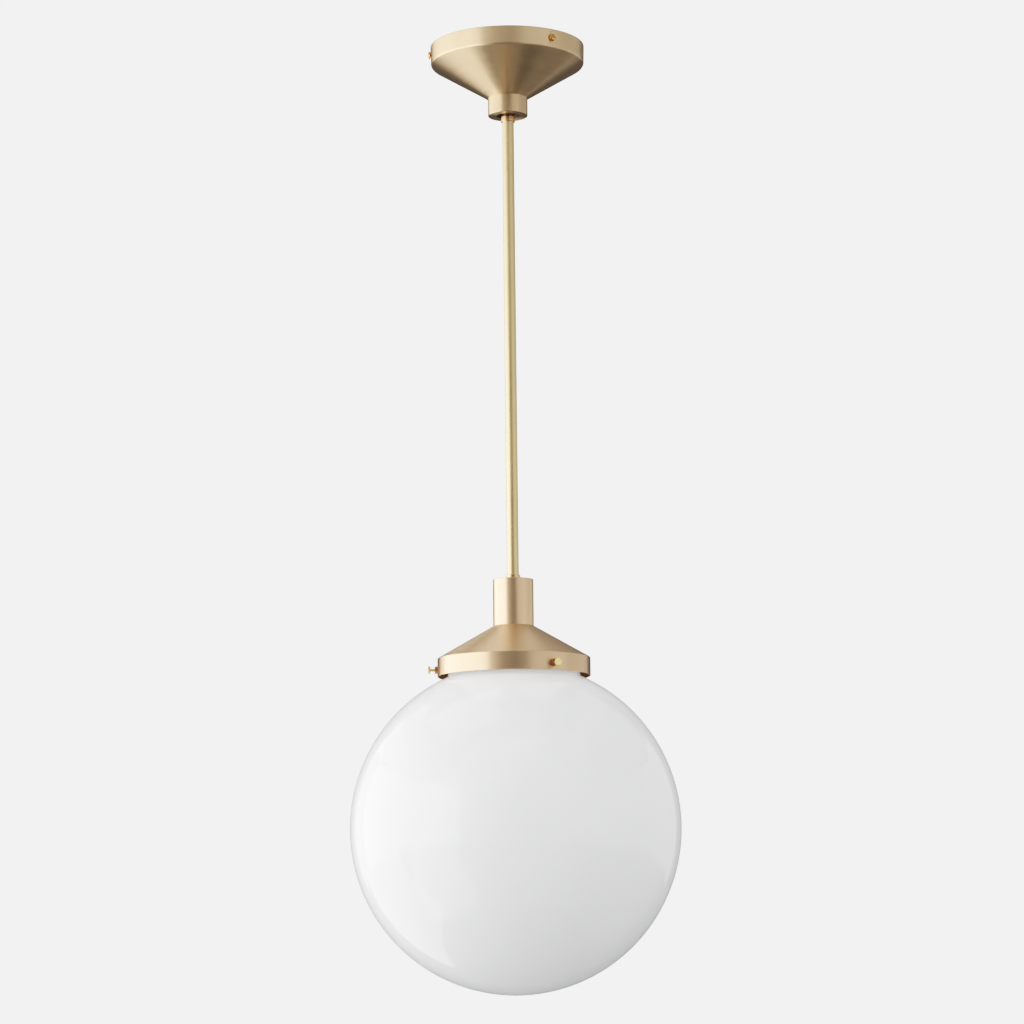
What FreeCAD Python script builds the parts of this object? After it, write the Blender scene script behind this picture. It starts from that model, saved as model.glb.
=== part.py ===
import FreeCAD
import Part

# Pendant ceiling light: a spun brass canopy, a ball swivel, a rigid stem, a socket cup, a globe
# holder and an opal glass globe. Millimetres, +Z up. The origin is the centre of the ceiling
# plane, so the whole light lies below Z = 0.

import math
import os

V = FreeCAD.Vector
UP = V(0, 0, 1)

# ---------------------------------------------------------------- driving dimensions
# Clearances
RUNNING_GAP = 0.3            # between curved faces of pieces that move on each other
FIT = 0.05                   # radial fit of a threaded or pushed-in piece
HOLE_ROOM = 0.25             # radial room of a clearance hole round a screw
PAST = 1.0                   # a cutting tool runs this far past the face it opens
SAME_PLACE = 1e-4            # points closer than this are the same point

# Canopy: an upright band, then a cone down to the collar
RIM_RADIUS = 85.25
BAND_DRAFT = 0.5             # the band is this much smaller in radius at its foot
CANOPY_BAND_HEIGHT = 20.0
CANOPY_CONE_HEIGHT = 38.5
CANOPY_WALL = 1.2
CANOPY_CORNER = 2.0          # rounded corner between band and cone

# Collar: turned cup under the canopy that carries the swivel
COLLAR_RADIUS = 21.9
COLLAR_HEIGHT = 20.0
COLLAR_WALL = 3.7            # outer face to bore
COLLAR_RIM_WALL = 1.6        # thin rim below the floor
COLLAR_RECESS = 1.4          # the floor lies this far above the rim
COLLAR_FLOOR = 2.0
SPIGOT_WALL = 1.7            # threaded spigot that passes up through the canopy
SPIGOT_HEIGHT = 6.2
LOCK_RING_WIDTH = 6.0
LOCK_RING_HEIGHT = 5.0
LOCK_RING_NOTCH = 3.0        # width of the two spanner notches
LOCK_RING_NOTCH_DEPTH = 2.0
LOCK_RING_NOTCH_BEARINGS = (45.0, 225.0)
COLLAR_EDGE = 0.5

# Swivel: a ball that hangs in a seat ring and lets the stem hang plumb
BALL_ROOM = 4.2              # bore of the collar to the ball's equator
BALL_CROWN = 3.0             # flat top of the ball above its centre
BALL_FLARE = 8.0             # depth of the flared mouth where the leads leave the ball
SEAT_SWING_ROOM = 3.95       # room round the neck in the seat's opening
FLOOR_SWING_ROOM = 6.05      # room round the neck in the collar's floor
SEAT_LIP = 2.0               # straight lip under the spherical seat
SEAT_RIM = 3.6               # the seat ring ends this far below the ball's centre

# Stem: tube with a sleeve at each end, threaded nipples inside
NIPPLE_RADIUS = 5.15         # threaded pipe inside both ends of the tube
NIPPLE_WALL = 1.75
STEM_WALL = 1.15
STEM_LENGTH = 508.0          # bare tube between the two sleeves
SLEEVE_WALL = 1.45
TOP_SLEEVE_DROP = 0.8        # below the collar's rim
TOP_SLEEVE_HEIGHT = 5.9
NECK_IN_SLEEVE = 2.5
BOTTOM_SLEEVE_HEIGHT = 2.7
NIPPLE_IN_BALL = 12.0
NIPPLE_IN_STEM = 22.0
SLEEVE_EDGE = 0.35

# Socket cup
CUP_HEIGHT = 50.8
CUP_ROOM = 2.9               # porcelain to the cup's bore
CUP_WALL = 1.5
CUP_ROOF = 2.5
CUP_EDGE = 0.5

# Globe holder: cone and band under the cup
HOLDER_CONE_HEIGHT = 35.1
HOLDER_BAND_HEIGHT = 19.5
HOLDER_WALL = 1.2
HOLDER_CORNER = 1.2
HOLDER_SPIGOT_HEIGHT = 8.0
HOLDER_SHOULDER = 1.5

# Thumb screws that hold the globe's lip
THUMB_BEARINGS = (180.0, -60.0, 60.0)
THUMB_HEIGHT = 7.6           # axis above the band's lower edge
THUMB_RADIUS = 1.6
THUMB_REACH = 5.0            # bare shank between boss and head
THUMB_HEAD_RADIUS = 4.4
THUMB_HEAD_THICKNESS = 2.1
THUMB_POINT = 1.2
THUMB_EDGE = 0.3
BOSS_RADIUS = 4.0
BOSS_HEIGHT = 3.0
BOSS_SPIGOT_RADIUS = 2.8
BOSS_TAIL = 1.0              # the riveted end stands this far inside the band

# Globe: opal glass with a neck and a bead lip that the thumb screws catch
GLOBE_RADIUS = 177.8
GLASS_WALL = 3.5
NECK_RADIUS = 71.4
NECK_LENGTH = 10.0
LIP_WIDTH = 3.1
LIP_HEIGHT = 6.0
LIP_ROOM = 6.95              # lip to the inside of the holder's band
NECK_ROUND = 3.0

# Canopy side screws and the steel mounting plate
CANOPY_SCREW_BEARINGS = (-175.0, -55.0, 65.0)
CANOPY_SCREW_DEPTH = 10.0    # axis below the ceiling
CANOPY_SCREW_RADIUS = 2.05
CANOPY_SCREW_LENGTH = 8.5
SCREW_HEAD_RADIUS = 3.9
SCREW_HEAD_RIM = 1.3
SCREW_HEAD_DOME = 1.7
SLOT_WIDTH = 1.0
SLOT_DEPTH = 1.2
PLATE_THICKNESS = 2.0
PLATE_MARGIN = 1.2           # canopy wall to the plate's edge
TAB_WIDTH = 14.0
TAB_BELOW_SCREW = 6.0
WIRE_HOLE_RADIUS = 19.0
BOX_SCREW_SPACING = 79.4     # middle of the two outlet-box slots
BOX_SLOT_LENGTH = 14.2
BOX_SLOT_RADIUS = 2.3
GROUND_SCREW_OFFSET = 40.0
GROUND_SCREW_RADIUS = 1.75
GROUND_SCREW_LENGTH = 8.0    # ceiling plane to the face of the head
GROUND_SCREW_SETBACK = 0.2   # end of the thread below the ceiling plane
GROUND_HEAD_RADIUS = 4.2
GROUND_HEAD_HEIGHT = 2.6

# Lamp socket inside the cup
NUT_ACROSS_FLATS = 15.5
NUT_HEIGHT = 4.0
WASHER_RADIUS = 9.5
WASHER_THICKNESS = 1.0
WASHER_SPLIT = 1.0
BRACKET_MARGIN = 2.5         # edge of the bracket inside the porcelain's edge
BRACKET_THICKNESS = 1.6
BRACKET_HUB_RADIUS = 7.5
BRACKET_HUB_HEIGHT = 2.0
BRACKET_SCREW_MARGIN = 3.5   # screw's axis inside the bracket's edge
BRACKET_SCREW_RADIUS = 1.5
BRACKET_SCREW_LENGTH = 9.0
BRACKET_HEAD_RADIUS = 2.7
BRACKET_HEAD_HEIGHT = 1.8
NIPPLE_END_ROOM = 1.0        # nipple below the bracket
PORCELAIN_WALL = 3.75        # screw shell's seat to the outer face
PORCELAIN_HEIGHT = 48.0
PORCELAIN_EDGE = 1.5
WIRING_WELL_RADIUS = 8.0
WIRING_WELL_DEPTH = 8.0
CHANNEL_WIDTH = 4.0
TERMINAL_FLAT_DEPTH = 1.9    # flat under a terminal screw, from the round face
TERMINAL_FLAT_HEIGHT = 19.0
TERMINAL_DROP = 14.0         # terminal screw below the porcelain's top
TERMINAL_HEAD_RADIUS = 3.2
TERMINAL_HEAD_HEIGHT = 1.8
TERMINAL_SHANK_RADIUS = 1.4
TERMINAL_SHANK_LENGTH = 4.2
TERMINAL_HOLE_LENGTH = 4.5
SCREW_WELL_DEPTH = 30.0
SHELL_WALL = 0.4
SHELL_SETBACK = 3.0          # screw shell inside the socket's mouth
CONTACT_RADIUS = 5.0
CONTACT_PLATE = 1.0
CONTACT_DOME = 2.0

# Lamp bulb with a medium screw base
BASE_RADIUS = 13.0
BASE_SHELL_LENGTH = 22.0
BASE_WALL = 0.35
BULB_INSULATOR_HEIGHT = 4.7
BULB_INSULATOR_STEP = 1.0    # insulator's shoulder inside the screw shell
BULB_BUTTON_RADIUS = 4.6
BULB_BUTTON_TIP = 3.2
BULB_BUTTON_HEIGHT = 1.2
BULB_LENGTH = 108.0
BULB_RADIUS = 30.0
BULB_WALL = 0.8
BULB_NECK_STEP = 1.2         # glass neck stands this far proud of the cap
BULB_WAIST_RADIUS = 42.0     # hollow arc between the ball and the neck
BULB_COLLAR_GAP = 0.2        # glass shoulder to the edge of the cap
STEM_PRESS_RADIUS = 4.0
STEM_PRESS_HEIGHT = 30.0
STEM_PRESS_FLARE = 10.0      # coned upper end that seals the glass
STEM_PRESS_SETBACK = 1.0
FILAMENT_SPAN = 12.0
FILAMENT_RADIUS = 0.6
POST_RADIUS = 0.48

# Leads and their connectors
LEAD_RADIUS = 1.05
LEAD_ROOM = 0.45             # lead to the nipple's bore
LEAD_SPLAY = 12.5            # connector's axis from the stem's axis
LEAD_STAND = 4.5             # the lead turns this far below the nipple
LEAD_STRAIGHT = 6.0          # below the connector's mouth, before the lead bends inwards
LEAD_RISE = 2.0              # the lead leaves the stem's axis this far above the ball
LEAD_TOP_REACH = 4.5
LEAD_FOOT_REACH = 3.3
LEAD_END_REACH = 2.0
LEAD_END_ROOM = 3.0          # end of the lead to the end of the connector's bore
SUPPLY_BEARINGS = (0.0, 180.0)
GROUND_LEAD_BEARING = -90.0
CONNECTOR_RADIUS = 6.5
CONNECTOR_TIP_RADIUS = 4.6
CONNECTOR_HEIGHT = 20.0
CONNECTOR_BORE = 1.6
CONNECTOR_BORE_DEPTH = 9.0
CONNECTOR_CLEAR = 19.0       # connectors' mouths above the ball's flat top

# ---------------------------------------------------------------- derived sizes
canopy_foot_radius = RIM_RADIUS - BAND_DRAFT
canopy_slope = CANOPY_CONE_HEIGHT / (canopy_foot_radius - COLLAR_RADIUS)
canopy_foot = -CANOPY_BAND_HEIGHT
cone_foot = canopy_foot - CANOPY_CONE_HEIGHT
collar_rim = cone_foot - COLLAR_HEIGHT
collar_floor = collar_rim + COLLAR_RECESS
collar_seat = collar_floor + COLLAR_FLOOR
collar_bore = COLLAR_RADIUS - COLLAR_WALL
spigot_radius = collar_bore + SPIGOT_WALL

stem_radius = NIPPLE_RADIUS + FIT + STEM_WALL
nipple_bore = NIPPLE_RADIUS - NIPPLE_WALL

ball_radius = collar_bore - BALL_ROOM
socket_radius = ball_radius + RUNNING_GAP
seat_opening = stem_radius + SEAT_SWING_ROOM
pivot = collar_seat + SEAT_LIP + math.sqrt(socket_radius ** 2 - seat_opening ** 2)
ball_top = pivot + BALL_CROWN

sleeve_radius = stem_radius + SLEEVE_WALL
top_sleeve_top = collar_rim - TOP_SLEEVE_DROP
top_sleeve_foot = top_sleeve_top - TOP_SLEEVE_HEIGHT
neck_end = top_sleeve_top - NECK_IN_SLEEVE
upper_nipple_top = neck_end + NIPPLE_IN_BALL
upper_nipple_foot = neck_end - NIPPLE_IN_STEM
bottom_sleeve_top = top_sleeve_foot - STEM_LENGTH
cup_top = bottom_sleeve_top - BOTTOM_SLEEVE_HEIGHT
cup_foot = cup_top - CUP_HEIGHT

shell_radius = BASE_RADIUS + RUNNING_GAP
shell_seat = shell_radius + SHELL_WALL + FIT
porcelain_radius = shell_seat + PORCELAIN_WALL
bracket_radius = porcelain_radius - BRACKET_MARGIN
bracket_screw_offset = bracket_radius - BRACKET_SCREW_MARGIN
terminal_flat = porcelain_radius - TERMINAL_FLAT_DEPTH
cup_bore = porcelain_radius + CUP_ROOM
cup_radius = cup_bore + CUP_WALL

holder_radius = NECK_RADIUS + LIP_WIDTH + LIP_ROOM + HOLDER_WALL
holder_corner = cup_foot - HOLDER_CONE_HEIGHT
holder_foot = holder_corner - HOLDER_BAND_HEIGHT
holder_slope = HOLDER_CONE_HEIGHT / (holder_radius - cup_radius)
thumb_axis = holder_foot + THUMB_HEIGHT
boss_face = holder_radius + BOSS_HEIGHT

lip_foot = thumb_axis + THUMB_RADIUS + RUNNING_GAP
globe_junction = lip_foot - NECK_LENGTH
globe_centre = globe_junction - math.sqrt(GLOBE_RADIUS ** 2 - NECK_RADIUS ** 2)

washer_top = cup_top - CUP_ROOF
nut_top = washer_top - WASHER_THICKNESS
hub_top = nut_top - NUT_HEIGHT
bracket_top = hub_top - BRACKET_HUB_HEIGHT
porcelain_top = bracket_top - BRACKET_THICKNESS
lower_nipple_foot = porcelain_top - NIPPLE_END_ROOM
porcelain_foot = porcelain_top - PORCELAIN_HEIGHT
screw_well_top = porcelain_foot + SCREW_WELL_DEPTH
bulb_tip = screw_well_top - CONTACT_PLATE - CONTACT_DOME - RUNNING_GAP
bulb_foot = bulb_tip - BULB_LENGTH

plate_radius = canopy_foot_radius - CANOPY_WALL - PLATE_MARGIN
connector_mouth = ball_top + CONNECTOR_CLEAR
lead_offset = nipple_bore - LEAD_ROOM - LEAD_RADIUS
base_shell_top = bulb_tip - BULB_BUTTON_HEIGHT - BULB_INSULATOR_HEIGHT
base_shell_foot = base_shell_top - BASE_SHELL_LENGTH
stem_press_top = base_shell_top - BASE_SHELL_LENGTH / 2 - STEM_PRESS_SETBACK
stem_press_foot = stem_press_top - STEM_PRESS_HEIGHT


# ---------------------------------------------------------------- helpers
def section(start, *steps):
    """Closed section of (radius, height) points; a step (through, end) is an arc."""
    edges = []
    here = V(start[0], 0, start[1])
    first = here
    for step in steps:
        if isinstance(step[0], tuple):
            through = V(step[0][0], 0, step[0][1])
            end = V(step[1][0], 0, step[1][1])
            edges.append(Part.Arc(here, through, end).toShape())
        else:
            end = V(step[0], 0, step[1])
            edges.append(Part.LineSegment(here, end).toShape())
        here = end
    if here.distanceToPoint(first) > SAME_PLACE:
        edges.append(Part.LineSegment(here, first).toShape())
    return Part.Face(Part.Wire(edges))


def turned(start, *steps):
    """Solid turned about Z from such a section."""
    return section(start, *steps).revolve(V(0, 0, 0), UP, 360)


def rod(radius, low, high, x=0.0, y=0.0):
    return Part.makeCylinder(radius, high - low, V(x, y, low), UP)


def tube(inner, outer, low, high):
    return rod(outer, low, high).cut(rod(inner, low - PAST, high + PAST))


def round_circles(solid, radius, *circles):
    """Rounds the circular edges that lie at the given (radius, height) places."""
    edges = []
    for edge in solid.Edges:
        if edge.Degenerated or not isinstance(edge.Curve, Part.Circle):
            continue
        for circle_radius, height in circles:
            same_size = abs(edge.Curve.Radius - circle_radius) < SAME_PLACE
            if same_size and abs(edge.Curve.Center.z - height) < SAME_PLACE:
                edges.append(edge)
    return solid.makeFillet(radius, edges)


def place(shape, bearing, distance=0.0, height=0.0):
    """Turns a piece modelled along +X to its bearing about Z, at its distance and height."""
    moved = shape.copy()
    moved.translate(V(distance, 0, height))
    moved.rotate(V(0, 0, 0), UP, bearing)
    return moved


def along_x(radius, start, end):
    return Part.makeCylinder(radius, end - start, V(start, 0, 0), V(1, 0, 0))


def lead_tube(start, corners, end, radius):
    """Round wire with tangent arcs; a corner is (x, y, z, reach), reach being where its bend starts."""
    spots = [V(*start)] + [V(*corner[:3]) for corner in corners] + [V(*end)]
    edges = []
    here = spots[0]
    for before, corner, after, (_, _, _, reach) in zip(spots, spots[1:], spots[2:], corners):
        into = (corner - before).normalize()
        out = (after - corner).normalize()
        turn = into.getAngle(out)
        bend = reach / math.tan(turn / 2)
        bend_start = corner - into * reach
        bend_end = corner + out * reach
        inward = (out - into).normalize()
        middle = corner + inward * (bend / math.cos(turn / 2) - bend)
        edges.append(Part.LineSegment(here, bend_start).toShape())
        edges.append(Part.Arc(bend_start, middle, bend_end).toShape())
        print("bend radius", round(bend, 2))
        here = bend_end
    edges.append(Part.LineSegment(here, spots[-1]).toShape())
    path = Part.Wire(edges)
    profile = Part.Wire(Part.makeCircle(radius, spots[0], spots[1] - spots[0]))
    solid = path.makePipeShell([profile], True, False)
    print("volume", round(solid.Volume, 1), "of", round(math.pi * radius ** 2 * path.Length, 1))
    return solid


def save(name, *solids):
    shape = solids[0] if len(solids) == 1 else Part.makeCompound(list(solids))
    if not shape.isValid() or min(solid.Volume for solid in shape.Solids) <= 0:
        raise RuntimeError(name + " is not a sound solid")
    shape.exportStep("parts/" + name + ".step")
    print(name, "solids", len(shape.Solids), "volume", round(shape.Volume, 1))


# ---------------------------------------------------------------- ceiling side
def mounting_plate():
    """Steel plate on the outlet box; three tabs bent down take the canopy's side screws."""
    plate = rod(plate_radius, -PLATE_THICKNESS, 0)
    tab_height = CANOPY_SCREW_DEPTH + TAB_BELOW_SCREW
    for bearing in CANOPY_SCREW_BEARINGS:
        tab = Part.makeBox(
            PLATE_THICKNESS, TAB_WIDTH, tab_height,
            V(plate_radius - PLATE_THICKNESS, -TAB_WIDTH / 2, -tab_height))
        plate = plate.fuse(place(tab, bearing))
    for bearing in CANOPY_SCREW_BEARINGS:
        tapped = along_x(CANOPY_SCREW_RADIUS + FIT, plate_radius - 2 * PLATE_THICKNESS, RIM_RADIUS)
        plate = plate.cut(place(tapped, bearing, height=-CANOPY_SCREW_DEPTH))
    low = -PLATE_THICKNESS - PAST
    plate = plate.cut(rod(WIRE_HOLE_RADIUS, low, PAST))
    half_slot = BOX_SLOT_LENGTH / 2 - BOX_SLOT_RADIUS
    for side in (-1, 1):
        middle = side * BOX_SCREW_SPACING / 2
        for end in (middle - half_slot, middle + half_slot):
            plate = plate.cut(rod(BOX_SLOT_RADIUS, low, PAST, x=end))
        plate = plate.cut(Part.makeBox(
            2 * half_slot, 2 * BOX_SLOT_RADIUS, PAST - low,
            V(middle - half_slot, -BOX_SLOT_RADIUS, low)))
    plate = plate.cut(rod(GROUND_SCREW_RADIUS + FIT, low, PAST, y=GROUND_SCREW_OFFSET))
    return plate.removeSplitter()


def plate_ground_screw():
    """Grounding screw: its head hangs under the plate, with room for a wire's eye."""
    head_foot = -GROUND_SCREW_LENGTH
    head_top = head_foot + GROUND_HEAD_HEIGHT
    head = rod(GROUND_HEAD_RADIUS, head_foot, head_top, y=GROUND_SCREW_OFFSET)
    shank = rod(GROUND_SCREW_RADIUS, head_top, -GROUND_SCREW_SETBACK, y=GROUND_SCREW_OFFSET)
    slot = Part.makeBox(
        2 * GROUND_HEAD_RADIUS, SLOT_WIDTH, SLOT_DEPTH,
        V(-GROUND_HEAD_RADIUS, GROUND_SCREW_OFFSET - SLOT_WIDTH / 2, head_foot))
    return head.fuse(shank).cut(slot).removeSplitter()


def canopy_inside(radius):
    """Height of the cone's inner face at a radius."""
    drop = CANOPY_WALL * math.sqrt(1 + canopy_slope ** 2)
    return cone_foot + (radius - COLLAR_RADIUS) * canopy_slope + drop


def canopy_floor_edge():
    """Radius where the inside of the cone meets the flat foot."""
    return COLLAR_RADIUS + (cone_foot + CANOPY_WALL - canopy_inside(COLLAR_RADIUS)) / canopy_slope


def canopy_shell():
    """Spun brass band and cone with a flat foot that the collar screws up against."""
    floor_top = cone_foot + CANOPY_WALL
    band_inside = canopy_foot_radius - CANOPY_WALL
    hole = spigot_radius + FIT
    shell = turned(
        (RIM_RADIUS, 0), (canopy_foot_radius, canopy_foot), (COLLAR_RADIUS, cone_foot),
        (hole, cone_foot), (hole, floor_top), (canopy_floor_edge(), floor_top),
        (band_inside, canopy_inside(band_inside)), (RIM_RADIUS - CANOPY_WALL, 0))
    shell = round_circles(shell, CANOPY_CORNER, (canopy_foot_radius, canopy_foot))
    inner_corner = (band_inside, canopy_inside(band_inside))
    shell = round_circles(shell, CANOPY_CORNER - CANOPY_WALL, inner_corner)
    for bearing in CANOPY_SCREW_BEARINGS:
        drill = along_x(CANOPY_SCREW_RADIUS + HOLE_ROOM, band_inside - PAST, RIM_RADIUS + PAST)
        shell = shell.cut(place(drill, bearing, height=-CANOPY_SCREW_DEPTH))
    return shell


def canopy_collar():
    """Turned cup: spigot above, ball swivel inside, recessed floor with the neck's hole."""
    rim_bore = COLLAR_RADIUS - COLLAR_RIM_WALL
    neck_hole = stem_radius + FLOOR_SWING_ROOM
    collar = turned(
        (collar_bore, cone_foot + SPIGOT_HEIGHT), (spigot_radius, cone_foot + SPIGOT_HEIGHT),
        (spigot_radius, cone_foot), (COLLAR_RADIUS, cone_foot), (COLLAR_RADIUS, collar_rim),
        (rim_bore, collar_rim), (rim_bore, collar_floor), (neck_hole, collar_floor),
        (neck_hole, collar_seat), (collar_bore, collar_seat))
    return round_circles(collar, COLLAR_EDGE, (COLLAR_RADIUS, collar_rim))


def collar_lock_ring():
    """Threaded ring on the spigot; its coned underside lies in the canopy's cone."""
    inner = spigot_radius + FIT
    outer = spigot_radius + LOCK_RING_WIDTH
    floor_top = cone_foot + CANOPY_WALL
    ring_top = floor_top + LOCK_RING_HEIGHT
    ring = turned(
        (inner, floor_top), (canopy_floor_edge() - FIT, floor_top),
        (outer, canopy_inside(outer) + 2 * FIT), (outer, ring_top), (inner, ring_top))
    for bearing in LOCK_RING_NOTCH_BEARINGS:
        notch = Part.makeBox(
            LOCK_RING_WIDTH + 2 * PAST, LOCK_RING_NOTCH, LOCK_RING_NOTCH_DEPTH,
            V(inner - PAST, -LOCK_RING_NOTCH / 2, ring_top - LOCK_RING_NOTCH_DEPTH))
        ring = ring.cut(place(notch, bearing))
    return ring


def canopy_screw(bearing):
    """Slotted dome-head screw through the band into a tab of the plate."""
    head_top_depth = CANOPY_SCREW_DEPTH - SCREW_HEAD_RADIUS
    band_at_head = RIM_RADIUS - BAND_DRAFT * head_top_depth / CANOPY_BAND_HEIGHT
    head_low = band_at_head + RUNNING_GAP
    dome_radius = (SCREW_HEAD_RADIUS ** 2 + SCREW_HEAD_DOME ** 2) / (2 * SCREW_HEAD_DOME)
    head_high = head_low + SCREW_HEAD_RIM + SCREW_HEAD_DOME
    ball = Part.makeSphere(dome_radius, V(head_high - dome_radius, 0, 0))
    head = along_x(SCREW_HEAD_RADIUS, head_low, head_high).common(ball)
    slot = Part.makeBox(
        SLOT_DEPTH + PAST, 2 * SCREW_HEAD_RADIUS, SLOT_WIDTH,
        V(head_high - SLOT_DEPTH, -SCREW_HEAD_RADIUS, -SLOT_WIDTH / 2))
    shank = along_x(CANOPY_SCREW_RADIUS, head_low - CANOPY_SCREW_LENGTH, head_low)
    screw = head.cut(slot).fuse(shank).removeSplitter()
    return place(screw, bearing, height=-CANOPY_SCREW_DEPTH)


# ---------------------------------------------------------------- swivel and stem
def swivel_seat_ring():
    """Ring on the collar's floor with a spherical seat for the ball."""
    ring = tube(seat_opening, collar_bore - RUNNING_GAP, collar_seat, pivot - SEAT_RIM)
    return ring.cut(Part.makeSphere(socket_radius, V(0, 0, pivot)))


def swivel_ball():
    """Truncated ball with a neck; the nipple screws up into it and the leads pass through."""
    ball = Part.makeSphere(ball_radius, V(0, 0, pivot))
    ball = ball.common(rod(ball_radius + PAST, pivot - ball_radius - PAST, ball_top))
    ball = ball.fuse(rod(stem_radius, neck_end, pivot))
    ball = ball.cut(rod(NIPPLE_RADIUS + FIT, neck_end - PAST, upper_nipple_top))
    lead_hole = nipple_bore + 2 * FIT
    flare = Part.makeCone(
        lead_hole, ball_radius / 2, BALL_FLARE, V(0, 0, ball_top - BALL_FLARE), UP)
    ball = ball.cut(rod(lead_hole, neck_end, ball_top)).cut(flare)
    return ball.removeSplitter()


def nipple(low, high):
    return tube(nipple_bore, NIPPLE_RADIUS, low, high)


def sleeve(low, high):
    ring = tube(stem_radius + FIT, sleeve_radius, low, high)
    return round_circles(ring, SLEEVE_EDGE, (sleeve_radius, low), (sleeve_radius, high))


def stem_tube():
    return tube(stem_radius - STEM_WALL, stem_radius, cup_top, neck_end)


# ---------------------------------------------------------------- cup and holder
def socket_cup():
    """Turned cup on the stem's foot that hides the lamp socket."""
    nipple_hole = NIPPLE_RADIUS + 2 * FIT
    cup = turned(
        (nipple_hole, cup_top), (cup_radius, cup_top), (cup_radius, cup_foot),
        (cup_bore, cup_foot), (cup_bore, washer_top), (nipple_hole, washer_top))
    return round_circles(cup, CUP_EDGE, (cup_radius, cup_top))


def globe_holder():
    """Spun cone and band; its threaded spigot stands up into the cup's bore."""
    spigot = cup_bore - FIT
    spigot_bore = spigot - HOLDER_SHOULDER
    spigot_top = cup_foot + HOLDER_SPIGOT_HEIGHT
    shoulder_foot = cup_foot - HOLDER_SHOULDER
    drop = HOLDER_WALL * math.sqrt(1 + holder_slope ** 2)
    band_bore = holder_radius - HOLDER_WALL
    inner_corner = holder_corner + HOLDER_WALL * holder_slope - drop
    shoulder_edge = holder_radius - (shoulder_foot + drop - holder_corner) / holder_slope
    holder = turned(
        (spigot_bore, spigot_top), (spigot, spigot_top), (spigot, cup_foot), (cup_radius, cup_foot),
        (holder_radius, holder_corner), (holder_radius, holder_foot), (band_bore, holder_foot),
        (band_bore, inner_corner), (shoulder_edge, shoulder_foot), (spigot_bore, shoulder_foot))
    holder = round_circles(holder, HOLDER_CORNER, (holder_radius, holder_corner))
    for bearing in THUMB_BEARINGS:
        hole = along_x(BOSS_SPIGOT_RADIUS + FIT, band_bore - PAST, holder_radius + PAST)
        holder = holder.cut(place(hole, bearing, height=thumb_axis))
    return holder


def thumb_screw_boss(bearing):
    """Tapped boss riveted through the band; its foot follows the band's curve."""
    boss = along_x(BOSS_RADIUS, holder_radius - BOSS_HEIGHT, boss_face)
    band = rod(holder_radius, -2 * BOSS_RADIUS, 2 * BOSS_RADIUS)
    boss = boss.cut(band)
    tail = along_x(BOSS_SPIGOT_RADIUS, holder_radius - HOLDER_WALL - BOSS_TAIL, boss_face)
    boss = boss.fuse(tail)
    boss = boss.cut(along_x(THUMB_RADIUS + 2 * FIT, NECK_RADIUS, boss_face + PAST))
    return place(boss.removeSplitter(), bearing, height=thumb_axis)


def thumb_screw(bearing):
    """Thumb screw with a flat disc head; its point stands just off the globe's neck."""
    point = NECK_RADIUS + RUNNING_GAP
    head_low = boss_face + THUMB_REACH
    head_high = head_low + THUMB_HEAD_THICKNESS
    shank = along_x(THUMB_RADIUS, point + THUMB_POINT, head_high)
    tip = Part.makeCone(THUMB_RADIUS / 2, THUMB_RADIUS, THUMB_POINT, V(point, 0, 0), V(1, 0, 0))
    head = along_x(THUMB_HEAD_RADIUS, head_low, head_high)
    rims = [edge for edge in head.Edges if isinstance(edge.Curve, Part.Circle)]
    head = head.makeChamfer(THUMB_EDGE, rims)
    screw = tip.fuse(shank).fuse(head).removeSplitter()
    return place(screw, bearing, height=thumb_axis)


def globe():
    """Blown opal globe: sphere, short neck and bead lip, one even wall."""
    inner_radius = GLOBE_RADIUS - GLASS_WALL
    bore = NECK_RADIUS - GLASS_WALL
    inner_junction = globe_centre + math.sqrt(inner_radius ** 2 - bore ** 2)
    lip_top = lip_foot + LIP_HEIGHT
    lip_middle = lip_foot + LIP_HEIGHT / 2
    half = math.sqrt(0.5)
    glass = turned(
        (0, globe_centre - GLOBE_RADIUS),
        ((GLOBE_RADIUS * half, globe_centre - GLOBE_RADIUS * half), (GLOBE_RADIUS, globe_centre)),
        ((GLOBE_RADIUS * half, globe_centre + GLOBE_RADIUS * half), (NECK_RADIUS, globe_junction)),
        (NECK_RADIUS, lip_foot),
        ((NECK_RADIUS + LIP_WIDTH, lip_middle), (NECK_RADIUS, lip_top)),
        (bore, lip_top), (bore, inner_junction),
        ((inner_radius * half, globe_centre + inner_radius * half), (inner_radius, globe_centre)),
        ((inner_radius * half, globe_centre - inner_radius * half), (0, globe_centre - inner_radius)))
    return round_circles(glass, NECK_ROUND, (NECK_RADIUS, globe_junction))


# ---------------------------------------------------------------- lamp socket
def lock_washer():
    washer = tube(NIPPLE_RADIUS + 2 * FIT, WASHER_RADIUS, nut_top, washer_top)
    split = Part.makeBox(
        WASHER_RADIUS + PAST, WASHER_SPLIT, WASHER_THICKNESS, V(0, -WASHER_SPLIT / 2, nut_top))
    return washer.cut(split)


def lock_nut():
    corner = V(NUT_ACROSS_FLATS / math.sqrt(3), 0, hub_top)
    corners = [FreeCAD.Rotation(UP, 60 * turn).multVec(corner) for turn in range(7)]
    nut = Part.Face(Part.makePolygon(corners)).extrude(V(0, 0, NUT_HEIGHT))
    return nut.cut(rod(NIPPLE_RADIUS + FIT, hub_top - PAST, nut_top + PAST))


def bracket_screw_places():
    return [(0, side * bracket_screw_offset) for side in (-1, 1)]


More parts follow.
